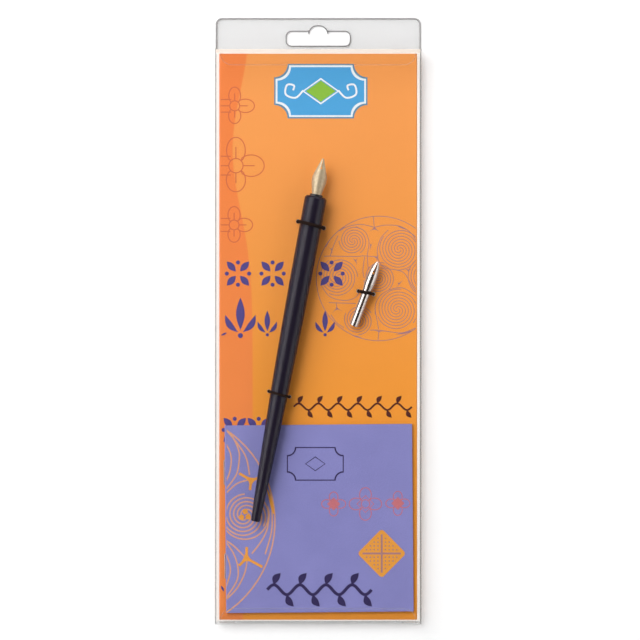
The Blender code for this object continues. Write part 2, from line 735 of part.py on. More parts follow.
def make_loop(name, card, along, heading, arch, axis_z, cord, splay=0):
    """An elastic loop over a pen or a nib. Both legs go down through the card and are tied behind it.
    along is the loop's place on the card, heading its turn, and arch the radius of its cord's middle."""
    place = pivot(f"{name}_place", (along.x, along.y, 0), (0, 0, heading))
    run = CARD_BACK - GAP - cord / 2
    foot, rise = arch + splay, axis_z - run
    lean = leg_lean(foot, rise, arch)
    shoulder = arch / math.tan(math.radians(45) + lean / 2)
    corners = (
        (-foot, run, cord / 2 + GAP),
        (foot, run, cord / 2 + GAP),
        (shoulder, axis_z + arch, arch),
        (-shoulder, axis_z + arch, arch),
    )
    route = [(x, 0, z) for x, z in rounded(corners)]
    loop = tube(name, route, cord, "dark_elastic", place, cyclic=True)
    knot_thickness = KNOT_THICKNESS_SHARE * cord
    knot_size = (KNOT_LENGTH_SHARE * cord, knot_thickness, knot_thickness)
    mesh = bpy.data.meshes.new(f"{name}_knot")
    work = bmesh.new()
    bmesh.ops.create_uvsphere(work, u_segments=KNOT_SEGMENTS, v_segments=KNOT_BANDS, radius=1)
    bmesh.ops.scale(work, vec=Vector(knot_size) / 2, verts=work.verts)
    work.to_mesh(mesh)
    work.free()
    knot_place = Matrix.Translation((0, 0, CARD_BACK - GAP - knot_thickness / 2))
    knot = add_object(f"{name}_knot", mesh, place, knot_place, collection=CUTTERS)
    combine(loop, as_cutter(knot), "UNION")
    length = TAIL_LENGTH_SHARE * cord
    level = Matrix.Rotation(math.radians(90), 4, "Y") @ Matrix.Translation((0, 0, length / 2))
    for side in (-1, 1):
        turn = Matrix.Rotation(side * TAIL_TURN, 4, "Z")
        tail = rod(f"{name}_tail", cord / 2, length, knot_place @ turn @ level, place)
        combine(loop, tail, "UNION")
    card_middle = CARD_TOP - CARD_THICKNESS / 2
    depth = CARD_THICKNESS + 2 * CUT_OVERRUN
    for side in (-1, 1):
        x = side * (foot - (card_middle - run) * math.tan(lean))
        hole_place = Matrix.Translation((x, 0, card_middle))
        combine(card, rod(f"{name}_hole", cord / 2 + GAP, depth, hole_place, place))


empty_the_scene()
PACK = new_collection("calligraphy_set_box")
CUTTERS = new_collection("cutters", hidden=True)

make_sleeve()
make_hanger()
for end, edge, outward in (("top", BODY_TOP, 1), ("bottom", BODY_BOTTOM, -1)):
    make_lid(end, edge, outward)
    for side in (-1, 1):
        make_dust_flap(end, side, edge, outward)
backing = make_card()
make_booklet()

pen_axis = lying("pen_axis", PEN_HEAD, PEN_LEAN, PEN_Z)
make_holder(pen_axis)
make_nib(
    "writing_nib",
    WRITING_LEAF_SHARES,
    WRITING_VENT_SHARE,
    WRITING_VENT_RADIUS,
    "pale_gilt",
    pen_axis,
    NIB_STAND_OUT,
)
spare_axis = lying("spare_nib_axis", SPARE_TIP, SPARE_LEAN, SPARE_Z)
make_nib(
    "spare_nib",
    SPARE_LEAF_SHARES,
    SPARE_VENT_SHARE,
    SPARE_VENT_RADIUS,
    "nickel_plate",
    spare_axis,
    0,
)

make_loop(
    "pen_loop_upper",
    backing,
    PEN_HEAD - PEN_DIRECTION * UPPER_LOOP_AT,
    -PEN_LEAN - UPPER_LOOP_SKEW,
    UPPER_LOOP_RADIUS,
    PEN_Z,
    UPPER_LOOP_CORD,
)
make_loop(
    "pen_loop_lower",
    backing,
    PEN_HEAD - PEN_DIRECTION * LOWER_LOOP_AT,
    -PEN_LEAN - LOWER_LOOP_SKEW,
    LOWER_LOOP_RADIUS,
    PEN_Z,
    LOWER_LOOP_CORD,
)
make_loop(
    "spare_nib_loop",
    backing,
    SPARE_TIP - SPARE_DIRECTION * NIB_LOOP_AT,
    -SPARE_LEAN - NIB_LOOP_SKEW,
    NIB_LOOP_RADIUS,
    SPARE_Z,
    NIB_LOOP_CORD,
    NIB_LOOP_SPLAY,
)
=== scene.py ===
"""The looks of a clear hang box with a calligraphy set in it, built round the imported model.

X runs across the pack, Y up it to the hanging header and Z out through the clear front, in metres."""

import math

import bpy
from mathutils import Matrix, Vector


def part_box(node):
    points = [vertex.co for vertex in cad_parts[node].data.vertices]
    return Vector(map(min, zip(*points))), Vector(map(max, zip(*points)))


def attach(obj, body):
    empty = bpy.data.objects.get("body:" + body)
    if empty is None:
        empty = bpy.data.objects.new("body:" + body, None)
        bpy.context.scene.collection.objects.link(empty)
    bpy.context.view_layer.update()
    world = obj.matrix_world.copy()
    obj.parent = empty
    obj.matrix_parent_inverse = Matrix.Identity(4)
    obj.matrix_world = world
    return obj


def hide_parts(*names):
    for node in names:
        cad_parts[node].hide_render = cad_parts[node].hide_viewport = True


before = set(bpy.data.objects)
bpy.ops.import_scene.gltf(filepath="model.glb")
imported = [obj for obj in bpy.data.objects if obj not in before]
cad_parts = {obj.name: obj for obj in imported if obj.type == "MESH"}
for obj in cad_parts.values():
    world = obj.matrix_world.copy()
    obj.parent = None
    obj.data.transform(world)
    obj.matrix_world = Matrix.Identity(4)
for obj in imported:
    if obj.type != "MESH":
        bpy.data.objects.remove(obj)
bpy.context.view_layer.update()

MM = 0.001

# Room between pieces and gauge of the clear sheet, as in the construction
GAP = 0.0003
SHEET = 0.0003

# Pen holder, along its own axis from the end that takes the nib
PEN_LENGTH = 0.1620
PEN_LEAN = math.radians(10.6)
PEN_HEAD = Vector((-0.0010, 0.0605, 0.01045))
PEN_RADIUS = 0.0054
PEN_TAIL_RADIUS = 0.00225
PEN_TAPER_POWER = 2.2
PEN_STATIONS = 30
PEN_BORE = 0.00345
PEN_BORE_DEPTH = 0.0188
PEN_END_BEVEL = (0.0008, 0.0011)
PEN_TAIL_ROUNDING = 0.0008
SOCKET_BORE = 0.00245
SOCKET_RADIUS = 0.00315
SOCKET_DEPTH = 0.0185
SOCKET_FLOOR = 0.0008
SOCKET_PROUD = 0.0010

# Nibs: their leaves are rows of distance from the tip, radius and height of the crown in shares of the
# shank's radius, and half the wrap in degrees
NIB_LENGTH = 0.0335
NIB_SHEET = 0.0003
NIB_SHANK_RADIUS = 0.00215
NIB_STAND_OUT = 0.0189
NIB_SLIT = 0.00018
NIB_ROW_CROWDING = 1.3
WRITING_LEAF = (
    (0.00, 0.23, 0.62, 60),
    (0.05, 0.55, 0.78, 58),
    (0.12, 1.02, 0.92, 58),
    (0.20, 1.42, 1.00, 65),
    (0.28, 1.70, 1.04, 80),
    (0.36, 1.64, 1.04, 84),
    (0.46, 1.32, 1.02, 100),
    (0.54, 1.07, 1.00, 135),
    (0.60, 1.00, 1.00, 150),
    (1.00, 1.00, 1.00, 150),
)
SPARE_LEAF = (
    (0.00, 0.26, 0.72, 62),
    (0.04, 0.66, 0.86, 66),
    (0.10, 0.98, 0.98, 76),
    (0.18, 1.17, 1.08, 88),
    (0.26, 1.24, 1.14, 100),
    (0.36, 1.22, 1.14, 115),
    (0.43, 1.06, 1.04, 135),
    (0.47, 1.00, 1.00, 150),
    (1.00, 1.00, 1.00, 150),
)
# Vents: distance from the tip in shares of the nib, and radius
WRITING_VENT = (0.145, 0.00045)
SPARE_VENT = (0.180, 0.00050)
SPARE_TIP = Vector((0.0292, 0.0286, 0.00767))
SPARE_LEAN = math.radians(20.6)

# Elastic loops: place along the pen or nib, cord, turn from square to it, and splay of the feet
UPPER_LOOP = (0.0140, 0.0016, math.radians(-3.9), 0)
LOWER_LOOP = (0.0985788, 0.0012, math.radians(-4.7), 0)
NIB_LOOP = (0.0162, 0.0015, math.radians(8.9), 0.0008)
CARD_BACK = 0.0042
KNOT_LENGTH_SHARE = 2.6
KNOT_THICKNESS_SHARE = 1.6
TAIL_LENGTH_SHARE = 3.2
TAIL_TURN = math.radians(70)
CORD_SEGMENTS = 20
# How far the cord swells where it fills its punched hole
HOLE_BULGE = 0.00022

# Share of the light that the sheet turns back when it is struck squarely, and at a slant
PET_SHINE = 0.026
PET_GRAZING_SHINE = 0.2

# Where the prints lie: on the card's face and on the booklet's cover
CARD_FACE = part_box("backing_card")[1].z
COVER_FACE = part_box("booklet_cover")[1].z
CARD_EDGE = 0.0479
COVER_LEFT = -0.0449
INK = 0.00002
INK_LIFT = 0.00001
# The four ways into the corners of a square ornament
QUARTERS = ((1, 1), (-1, 1), (-1, -1), (1, -1))

# Widths of the sheet's frosted edges and folds, of the threads that mark its cuts, and of the board's raw
# edge, which shows at the ends and along the sides, where it also lies past the card as painted light over
# the shaded gap
EDGE_WIDTH = 0.0008
SLOT_EDGE_WIDTH = 0.0005
FOLD_WIDTH = 0.0005
PALE_WIDTH = 0.0018
CUT_WIDTH = 0.00026
RAW_END_WIDTH = 0.0006
RAW_SIDE_WIDTH = 0.0012

# The level of the sleeve's front, which the front folds lie in
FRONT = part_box("box_sleeve")[1].z

# The lids' tongues, and the dust flaps: heights and reaches of their corners in shares of the lid's depth
TONGUE_LEAN = math.radians(14)
FLAP_SHARES = ((0.05, 0.0), (0.59, 0.515), (0.73, 0.535), (0.9, 0.3), (0.925, 0.0))

# The camera hangs over the middle of the photograph, which is a little right of the pack's
CAMERA_PLACE = (0.0009, 0, 2.2)
CAMERA_LENS = 251.4


def linear(hex_code):
    """The linear colour of an sRGB hex value."""
    levels = [int(hex_code[i : i + 2], 16) / 255 for i in (0, 2, 4)]
    return (*(c / 12.92 if c <= 0.04045 else ((c + 0.055) / 1.055) ** 2.4 for c in levels), 1.0)


def add(tree, kind, inputs=None, output=None, **settings):
    """Adds a shader node with its settings. Each input takes a value, or the socket that feeds it. It
    gives the node's output of this name, or else the first one that the settings leave in use."""
    made = tree.nodes.new(f"ShaderNode{kind}")
    for name, value in settings.items():
        setattr(made, name, value)
    for socket, value in (inputs or {}).items():
        if isinstance(value, bpy.types.NodeSocket):
            tree.links.new(value, made.inputs[socket])
        else:
            made.inputs[socket].default_value = value
    if output:
        return made.outputs[output]
    return next((socket for socket in made.outputs if socket.enabled), None)


def new_material(name):
    """An empty material and its node tree."""
    made = bpy.data.materials.new(name)
    made.use_nodes = True
    made.node_tree.nodes.clear()
    return made, made.node_tree


def clear_pet(name, face_on, edge_on):
    """PET sheet, 0.3 mm, calendered: clear and glossy, with slow waves in what it mirrors. It tints what
    is behind it by face_on where it is seen squarely and by edge_on at a slant."""
    made, tree = new_material(name)
    place = add(tree, "TexCoord", output="Object")
    ripple = add(tree, "TexNoise", {"Vector": place, "Scale": 1 / (30 * MM), "Detail": 1.0})
    bump = add(tree, "Bump", {"Height": ripple, "Strength": 0.5, "Distance": 0.4 * MM})
    # The fifth power of the slant on both faces, since light leaves the sheet at the angle it came in
    facing = add(tree, "LayerWeight", {"Blend": 0.5, "Normal": bump}, "Facing")
    steep = add(tree, "Math", {0: facing, 1: 5.0}, operation="POWER")
    shine = add(tree, "MapRange", {"Value": steep, "To Min": PET_SHINE, "To Max": PET_GRAZING_SHINE})
    tint = add(tree, "Mix", {0: steep, 6: linear(face_on), 7: linear(edge_on)}, data_type="RGBA")
    clear = add(tree, "BsdfTransparent", {"Color": tint})
    gloss = add(tree, "BsdfGlossy", {"Color": linear("FFFFFF"), "Roughness": 0.05, "Normal": bump})
    mixed = add(tree, "MixShader", {0: shine, 1: clear, 2: gloss})
    add(tree, "OutputMaterial", {"Surface": mixed})
    return made


def cut_pet(name, hex_code, frosted, cover):
    """A die-cut or scored edge of the sheet, which the knife leaves frosted. Two uses carry painted light:
    the pale top fold is a painted highlight, and the glued seam is darkened with painted shade. cover is
    how much it hides.
    """
    made, tree = new_material(name)
    place = add(tree, "TexCoord", output="Object")
    frost = add(tree, "TexNoise", {"Vector": place, "Scale": 1 / (0.4 * MM), "Detail": 2.0})
    base = add(tree, "Mix", {0: frost, 6: linear(hex_code), 7: linear(frosted)}, data_type="RGBA")
    shader = add(tree, "BsdfPrincipled", {"Base Color": base, "Roughness": 0.5, "Alpha": cover})
    add(tree, "OutputMaterial", {"Surface": shader})
    return made


def raw_board():
    """The bleached core of the board, where it is cut or cracks along a fold: matt and nearly white."""
    made, tree = new_material("bleached_board_core")
    place = add(tree, "TexCoord", output="Object")
    fibre = add(tree, "TexNoise", {"Vector": place, "Scale": 1 / (0.3 * MM), "Detail": 3.0})
    base = add(tree, "Mix", {0: fibre, 6: linear("FFFBF6"), 7: linear("FBF0E6")}, data_type="RGBA")
    shader = add(tree, "BsdfPrincipled", {"Base Color": base, "Roughness": 0.8})
    add(tree, "OutputMaterial", {"Surface": shader})
    return made


def printed_card():
    """Solid bleached board, offset printed in orange under a satin varnish, raw and grey at the back, with
    painted shade along its bottom edge.
    """
    foot_end = -0.147
    made, tree = new_material("printed_orange_board")
    place = add(tree, "TexCoord", output="Object")
    across = add(tree, "SeparateXYZ", {0: place}, "X")
    up = add(tree, "SeparateXYZ", {0: place}, "Y")
    rise = add(
        tree,
        "MapRange",
        {"Value": up, "From Min": -0.09, "From Max": 0.13},
        interpolation_type="SMOOTHSTEP",
    )
    orange = add(tree, "Mix", {0: rise, 6: linear("F59A2C"), 7: linear("F79E50")}, data_type="RGBA")
    # The redder band down the left side swings in near the top: its edge is a bell curve in Y
    swing_height, swing_spread, swing_depth, blur = 0.0835, 0.0295, 0.0098, 0.0003
    offset = add(tree, "Math", {0: up, 1: -swing_height}, operation="ADD")
    squared = add(tree, "Math", {0: offset, 1: offset}, operation="MULTIPLY")
    fall = add(tree, "Math", {0: squared, 1: -1 / (2 * swing_spread**2)}, operation="MULTIPLY")
    bell = add(tree, "Math", {0: fall}, operation="EXPONENT")
    slope = {"From Min": foot_end, "From Max": -0.06, "To Min": -0.037, "To Max": -0.0322}
    straight = add(tree, "MapRange", {"Value": up, **slope})
    swing = add(tree, "Math", {0: bell, 1: -swing_depth, 2: straight}, operation="MULTIPLY_ADD")
    inside = add(tree, "Math", {0: swing, 1: across}, operation="SUBTRACT")
    band = add(tree, "MapRange", {"Value": inside, "From Min": -blur, "From Max": blur})
    red = add(tree, "Mix", {0: rise, 6: linear("F58B44"), 7: linear("F5843E")}, data_type="RGBA")
    coloured = add(tree, "Mix", {0: band, 6: orange, 7: red}, data_type="RGBA")
    fibre = add(tree, "TexNoise", {"Vector": place, "Scale": 1 / (0.9 * MM), "Detail": 3.0})
    cloud = add(tree, "TexNoise", {"Vector": place, "Scale": 1 / (14 * MM), "Detail": 2.0})
    mottled = add(tree, "Math", {0: fibre, 1: cloud}, operation="ADD")
    strength = {"From Min": 0.6, "From Max": 1.4, "To Min": 0.97, "To Max": 1.0}
    depth = add(tree, "MapRange", {"Value": mottled, **strength})
    # Painted shade: the print is darkened a little along the bottom edge, where the booklet and the bottom
    # lid shade it
    painted_shade_span = {"From Min": foot_end, "From Max": -0.139, "To Min": 0.8, "To Max": 1.0}
    end = add(tree, "MapRange", {"Value": up, **painted_shade_span})
    depth = add(tree, "Math", {0: depth, 1: end}, operation="MULTIPLY")
    layers = {0: 1.0, 6: coloured, 7: depth}
    printed = add(tree, "Mix", layers, data_type="RGBA", blend_type="MULTIPLY")
    normal = add(tree, "TexCoord", output="Normal")
    facing = add(tree, "SeparateXYZ", {0: normal}, "Z")
    back = add(tree, "MapRange", {"Value": facing, "From Min": -0.3, "From Max": -0.5})
    base = add(tree, "Mix", {0: back, 6: printed, 7: linear("D9D6CF")}, data_type="RGBA")
    bump = add(tree, "Bump", {"Height": fibre, "Strength": 0.15, "Distance": 0.03 * MM})
    shader = add(tree, "BsdfPrincipled", {"Base Color": base, "Roughness": 0.42, "Normal": bump})
    add(tree, "OutputMaterial", {"Surface": shader})
    return made


def cover_paper():
    """Cover paper, uncoated and felt marked, printed violet: soft, with a fine mottle."""
    made, tree = new_material("violet_cover_paper")
    place = add(tree, "TexCoord", output="Object")
    felt = add(tree, "TexNoise", {"Vector": place, "Scale": 1 / (0.7 * MM), "Detail": 3.0})
    cloud = add(tree, "TexNoise", {"Vector": place, "Scale": 1 / (18 * MM), "Detail": 2.0})
    both = add(tree, "Math", {0: felt, 1: cloud}, operation="ADD")
    share = add(tree, "MapRange", {"Value": both, "From Min": 0.7, "From Max": 1.3})
    base = add(tree, "Mix", {0: share, 6: linear("7F7EBA"), 7: linear("8887C4")}, data_type="RGBA")
    bump = add(tree, "Bump", {"Height": felt, "Strength": 0.25, "Distance": 0.04 * MM})
    shader = add(tree, "BsdfPrincipled", {"Base Color": base, "Roughness": 0.55, "Normal": bump})
    add(tree, "OutputMaterial", {"Surface": shader})
    return made


def page_paper():
    """Uncoated white pages: their cut edges show as fine dark lines, one every 0.1 mm."""
    made, tree = new_material("uncoated_white_pages")
    place = add(tree, "TexCoord", output="Object")
    height = add(tree, "SeparateXYZ", {0: place}, "Z")
    turns = add(tree, "Math", {0: height, 1: 2 * math.pi / (0.1 * MM)}, operation="MULTIPLY")
    wave = add(tree, "Math", {0: turns}, operation="SINE")
    lines = add(tree, "MapRange", {"Value": wave, "From Min": 0.2, "From Max": 0.9})
    base = add(tree, "Mix", {0: lines, 6: linear("F1EFE9"), 7: linear("A9A59C")}, data_type="RGBA")
    shader = add(tree, "BsdfPrincipled", {"Base Color": base, "Roughness": 0.8})
    add(tree, "OutputMaterial", {"Surface": shader})
    return made


def lacquered_wood():
    """Turned hardwood under glossy blue-black lacquer: deep and mirror-like, with the grain barely
    telegraphing."""
    made, tree = new_material("blue_black_lacquer_on_wood")
    place = add(tree, "TexCoord", output="Object")
    stretch = {"Rotation": (0, 0, PEN_LEAN), "Scale": (1.0, 0.06, 1.0)}
    along = add(tree, "Mapping", {"Vector": place, **stretch})
    fibre = add(tree, "TexNoise", {"Vector": along, "Scale": 1 / (0.5 * MM), "Detail": 3.0})
    base = add(tree, "Mix", {0: fibre, 6: linear("17121F"), 7: linear("211A2B")}, data_type="RGBA")
    bump = add(tree, "Bump", {"Height": fibre, "Strength": 0.12, "Distance": 0.02 * MM})
    lacquer = {"Roughness": 0.26, "Specular IOR Level": 0.22}
    shader = add(tree, "BsdfPrincipled", {"Base Color": base, "Normal": bump, **lacquer})
    add(tree, "OutputMaterial", {"Surface": shader})
    return made


def moulded_abs():
    """ABS, injection moulded, black: a satin skin with a fine spark-eroded grain."""
    made, tree = new_material("satin_black_abs")
    place = add(tree, "TexCoord", output="Object")
    skin = add(tree, "TexNoise", {"Vector": place, "Scale": 1 / (0.15 * MM), "Detail": 2.0})
    bump = add(tree, "Bump", {"Height": skin, "Strength": 0.2, "Distance": 0.01 * MM})
    base = add(tree, "Mix", {0: skin, 6: linear("0E0D10"), 7: linear("19181B")}, data_type="RGBA")
    shader = add(tree, "BsdfPrincipled", {"Base Color": base, "Roughness": 0.38, "Normal": bump})
    add(tree, "OutputMaterial", {"Surface": shader})
    return made


def plated_nib(name, pale, deep, lean, smooth, dull, bloom):
    """Spring steel, stamped, rolled and plated: fine polishing lines along it, dull in the bends. bloom
    gives the shares of the light that the plating scatters, on its polished crown and down its sides."""
    made, tree = new_material(name)
    place = add(tree, "TexCoord", output="Object")
    along = add(
        tree, "Mapping", {"Vector": place, "Rotation": (0, 0, lean), "Scale": (1.0, 0.05, 1.0)}
    )
    lines = add(tree, "TexNoise", {"Vector": along, "Scale": 1 / (0.2 * MM), "Detail": 3.0})
    cloud = add(tree, "TexNoise", {"Vector": place, "Scale": 1 / (1.4 * MM), "Detail": 2.0})
    base = add(tree, "Mix", {0: cloud, 6: linear(pale), 7: linear(deep)}, data_type="RGBA")
    rough = add(tree, "MapRange", {"Value": cloud, "To Min": smooth, "To Max": dull})
    bump = add(tree, "Bump", {"Height": lines, "Strength": 0.15, "Distance": 0.02 * MM})
    normal = add(tree, "TexCoord", output="Normal")
    facing = add(tree, "SeparateXYZ", {0: normal}, "Z")
    crown, sides = bloom
    scatter = {"From Min": 0.45, "From Max": 0.8, "To Min": 1 - sides, "To Max": 1 - crown}
    metal = add(tree, "MapRange", {"Value": facing, **scatter})
    finish = {"Base Color": base, "Metallic": metal, "Roughness": rough, "Normal": bump}
    shader = add(tree, "BsdfPrincipled", finish)
    add(tree, "OutputMaterial", {"Surface": shader})
    return made


def staple_wire():
    """Galvanised staple wire, drawn: bright grey with a slight bloom."""
    made, tree = new_material("galvanised_staple_wire")
    place = add(tree, "TexCoord", output="Object")
    bloom = add(tree, "TexNoise", {"Vector": place, "Scale": 1 / (0.5 * MM), "Detail": 2.0})
    base = add(tree, "Mix", {0: bloom, 6: linear("B9BABD"), 7: linear("8F9195")}, data_type="RGBA")
    shader = add(tree, "BsdfPrincipled", {"Base Color": base, "Metallic": 1.0, "Roughness": 0.32})
    add(tree, "OutputMaterial", {"Surface": shader})
    return made


def braided_elastic():
    """Rubber core in a braided polyester cover, dark brown: matt, with plaits crossing 0.4 to 0.5 mm
    apart, three rows to a cord's thickness."""
    rows_per_cord, rows_round = 3, 6
    made, tree = new_material("braided_brown_elastic")
    # The UV map counts cords along and turns round, so both crossing rows are sums of the two
    place = add(tree, "TexCoord", output="UV")
    cords = add(tree, "SeparateXYZ", {0: place}, "X")
    turns = add(tree, "SeparateXYZ", {0: place}, "Y")
    along = add(tree, "Math", {0: cords, 1: 2 * math.pi * rows_per_cord}, operation="MULTIPLY")
    rows = []
    for way in (-1, 1):
        slant = {0: turns, 1: way * 2 * math.pi * rows_round, 2: along}
        turned_row = add(tree, "Math", slant, operation="MULTIPLY_ADD")
        rows.append(add(tree, "Math", {0: turned_row}, operation="SINE"))
    crossing = add(tree, "Math", {0: rows[0], 1: rows[1]}, operation="MULTIPLY")
    plaits = add(tree, "MapRange", {"Value": crossing, "From Min": -0.8, "From Max": 0.8})
    base = add(tree, "Mix", {0: plaits, 6: linear("120906"), 7: linear("2A1812")}, data_type="RGBA")
    bump = add(tree, "Bump", {"Height": plaits, "Strength": 0.6, "Distance": 0.08 * MM})
    finish = {"Roughness": 0.75, "Specular IOR Level": 0.1}
    shader = add(tree, "BsdfPrincipled", {"Base Color": base, "Normal": bump, **finish})
    add(tree, "OutputMaterial", {"Surface": shader})
    return made


def ink(name, hex_code, deeper):
    """Offset printing ink on paper or board: a thin satin film, a little uneven in strength."""
    made, tree = new_material(name)
    place = add(tree, "TexCoord", output="Object")
    cloud = add(tree, "TexNoise", {"Vector": place, "Scale": 1 / (1.2 * MM), "Detail": 3.0})
    base = add(tree, "Mix", {0: cloud, 6: linear(hex_code), 7: linear(deeper)}, data_type="RGBA")
    shader = add(tree, "BsdfPrincipled", {"Base Color": base, "Roughness": 0.45})
    add(tree, "OutputMaterial", {"Surface": shader})
    return made


def pick(obj):
    """Selects this object alone and makes it active."""
    bpy.ops.object.select_all(action="DESELECT")
    obj.select_set(True)
    bpy.context.view_layer.objects.active = obj


def settle(obj, name, material, body, replaces=()):
    """Names a finished piece, dresses it and lets it ride on its body."""
    obj.name = obj.data.name = name
    obj.data.materials.clear()
    obj.data.materials.append(material)
    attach(obj, body)
    if replaces:
        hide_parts(*replaces)
    return obj


def apply(obj, kind, **settings):
    """Adds a modifier with its settings and applies it."""
    pick(obj)
    change = obj.modifiers.new(kind, kind)
    for name, value in settings.items():
        setattr(change, name, value)
    bpy.ops.object.modifier_apply(modifier=change.name)


def lying(head, lean):
    """The place of a pen or a nib: Z runs along it towards its tip, and -Y faces up."""
    turn = Matrix.Rotation(-lean, 4, "Z") @ Matrix.Rotation(math.radians(-90), 4, "X")
    return Matrix.Translation(head) @ turn


def turned(stations, place, segments=96):
    """A round piece, drawn out of a disc ring by ring through its (radius, along) stations."""
    bpy.ops.object.select_all(action="DESELECT")
    (radius, along), *rest = stations
    bpy.ops.mesh.primitive_circle_add(vertices=segments, radius=radius, fill_type="NGON")
    obj = bpy.context.object
    bpy.ops.object.mode_set(mode="EDIT")
    bpy.ops.transform.translate(value=(0, 0, along))
    for next_radius, next_along in rest:
        step = {"value": (0, 0, next_along - along)}
        bpy.ops.mesh.extrude_region_move(TRANSFORM_OT_translate=step)
        scale = next_radius / radius
        bpy.ops.transform.resize(value=(scale, scale, 1), center_override=(0, 0, next_along))
        radius, along = next_radius, next_along
    bpy.ops.mesh.select_all(action="SELECT")
    bpy.ops.mesh.normals_make_consistent(inside=False)
    bpy.ops.object.mode_set(mode="OBJECT")
    obj.data.transform(place)
    bpy.ops.object.shade_smooth_by_angle(angle=math.radians(32))
    return obj


def barrel_radius(along):
    """The holder's radius at this distance from the nib's end."""
    share = along / PEN_LENGTH
    return PEN_TAIL_RADIUS + (PEN_RADIUS - PEN_TAIL_RADIUS) * (1 - share**PEN_TAPER_POWER)


def make_holder():
    """The holder with its blind bore, bevelled at the nib's end and rounded at the tail."""
    depth, length = PEN_END_BEVEL
    tail = []
    for step in range(5):
        angle = math.radians(90) * step / 4
        inset = PEN_TAIL_ROUNDING * (1 - math.sin(angle))
        rise = PEN_TAIL_ROUNDING * (1 - math.cos(angle))
        tail.append((PEN_TAIL_RADIUS - inset, -PEN_LENGTH + rise))
    shares = [station / PEN_STATIONS for station in range(PEN_STATIONS - 1, 0, -1)]
    barrel = [(barrel_radius(PEN_LENGTH * share), -PEN_LENGTH * share) for share in shares]
    soft = depth / 6
    head = [
        (barrel_radius(length) - soft / 4, -length - soft),
        (barrel_radius(length) - soft / 2, -length + soft),
        (PEN_RADIUS - depth, -soft / 2),
        (PEN_RADIUS - depth - soft, 0),
        (PEN_BORE + soft / 2, 0),
        (PEN_BORE, -soft / 2),
        (PEN_BORE, -PEN_BORE_DEPTH),
    ]
    holder = turned(tail + barrel + head, lying(PEN_HEAD, PEN_LEAN))
    settle(holder, "lacquered_holder", LACQUER, "pen", ["pen_holder"])


def make_socket():
    """The plastic socket, with a lip round its mouth."""
    lip = GAP / 2
    stations = [
        (SOCKET_RADIUS, -SOCKET_DEPTH),
        (SOCKET_RADIUS, SOCKET_PROUD - lip),
        (SOCKET_RADIUS - lip, SOCKET_PROUD),
        (SOCKET_BORE + lip, SOCKET_PROUD),
        (SOCKET_BORE, SOCKET_PROUD - lip),
        (SOCKET_BORE, SOCKET_FLOOR - SOCKET_DEPTH),
    ]
    socket = turned(stations, lying(PEN_HEAD, PEN_LEAN), 64)
    settle(socket, "moulded_socket", ABS, "pen", ["nib_socket"])


def between(rows, share):
    """The row of a table at this share of the length, on a smooth curve through the rows."""
    last = len(rows) - 1
    at = max(i for i in range(last) if rows[i][0] <= share)
    four = [rows[min(max(i, 0), last)] for i in (at - 1, at, at + 1, at + 2)]
    span = four[2][0] - four[1][0]
    t = (share - four[1][0]) / span
    result = []
    for column in range(1, len(rows[0])):
        a, b, c, d = (row[column] for row in four)
        before = (c - a) / max(four[2][0] - four[0][0], span) * span
        after = (d - b) / max(four[3][0] - four[1][0], span) * span
        curve = (2 * b - 2 * c + before + after) * t**3
        curve += (3 * c - 3 * b - 2 * before - after) * t**2
        result.append(curve + before * t + b)
    return result


def make_nib(name, rows, vent, tip, place, material, node):
    """A nib: a flat blank bent to its leaf and shank, given its thickness, pierced and slit. tip is how
    far along it its tip lies from its place. The nib's node and body have the same name."""
    bpy.ops.object.select_all(action="DESELECT")
    bpy.ops.mesh.primitive_grid_add(x_subdivisions=32, y_subdivisions=84, size=1)
    nib = bpy.context.object
    for vertex in nib.data.vertices:
        across, share = 2 * vertex.co.x, (0.5 - vertex.co.y) ** NIB_ROW_CROWDING
        radius, crown, wrap = between(rows, share)
        radius *= NIB_SHANK_RADIUS
        angle = math.radians(wrap) * across
        up = crown * NIB_SHANK_RADIUS - radius + radius * math.cos(angle)
        vertex.co = (radius * math.sin(angle), -up, tip - share * NIB_LENGTH)
    apply(nib, "SOLIDIFY", thickness=NIB_SHEET, offset=-1, use_even_offset=True)
    vent_share, vent_radius = vent
    vent_at = tip - vent_share * NIB_LENGTH
    bpy.ops.mesh.primitive_cylinder_add(
        vertices=32,
        radius=vent_radius,
        depth=2 * NIB_SHANK_RADIUS,
        location=(0, -NIB_SHANK_RADIUS, vent_at),
        rotation=(math.radians(90), 0, 0),
    )
    punch = bpy.context.object
    apply(nib, "BOOLEAN", object=punch, operation="DIFFERENCE")
    bpy.data.objects.remove(punch)
    slit_length = tip + NIB_SHEET - vent_at
    bpy.ops.mesh.primitive_cube_add(
        size=1,
        location=(0, -NIB_SHANK_RADIUS, vent_at + slit_length / 2),
        scale=(NIB_SLIT, 2 * NIB_SHANK_RADIUS, slit_length),
    )
    blade = bpy.context.object
    apply(nib, "BOOLEAN", object=blade, operation="DIFFERENCE")
    bpy.data.objects.remove(blade)
    nib.data.transform(place)
    pick(nib)
    bpy.ops.object.shade_smooth_by_angle(angle=math.radians(40))
    settle(nib, name, material, node, [node])


def filleted(corners, closed=True):
    """The points of an outline through corners of (x, y, radius), each corner an arc of its radius."""
    points = []
    for i, (x, y, radius) in enumerate(corners):
        here = Vector((x, y))
        if not radius or (not closed and i in (0, len(corners) - 1)):
            points.append(here)
            continue
        before = (Vector(corners[i - 1][:2]) - here).normalized()
        after = (Vector(corners[(i + 1) % len(corners)][:2]) - here).normalized()
        half = before.angle(after) / 2
        centre = here + (before + after).normalized() * (radius / math.sin(half))
        start = here + before * (radius / math.tan(half)) - centre
        turn = math.copysign(math.pi - 2 * half, after.cross(before))
        steps = max(3, round(abs(turn) / math.radians(7.5)))
        for step in range(steps + 1):
            points.append(centre + Matrix.Rotation(turn * step / steps, 2) @ start)
    return [here for i, here in enumerate(points) if (here - points[i - 1]).length > GAP / 100]


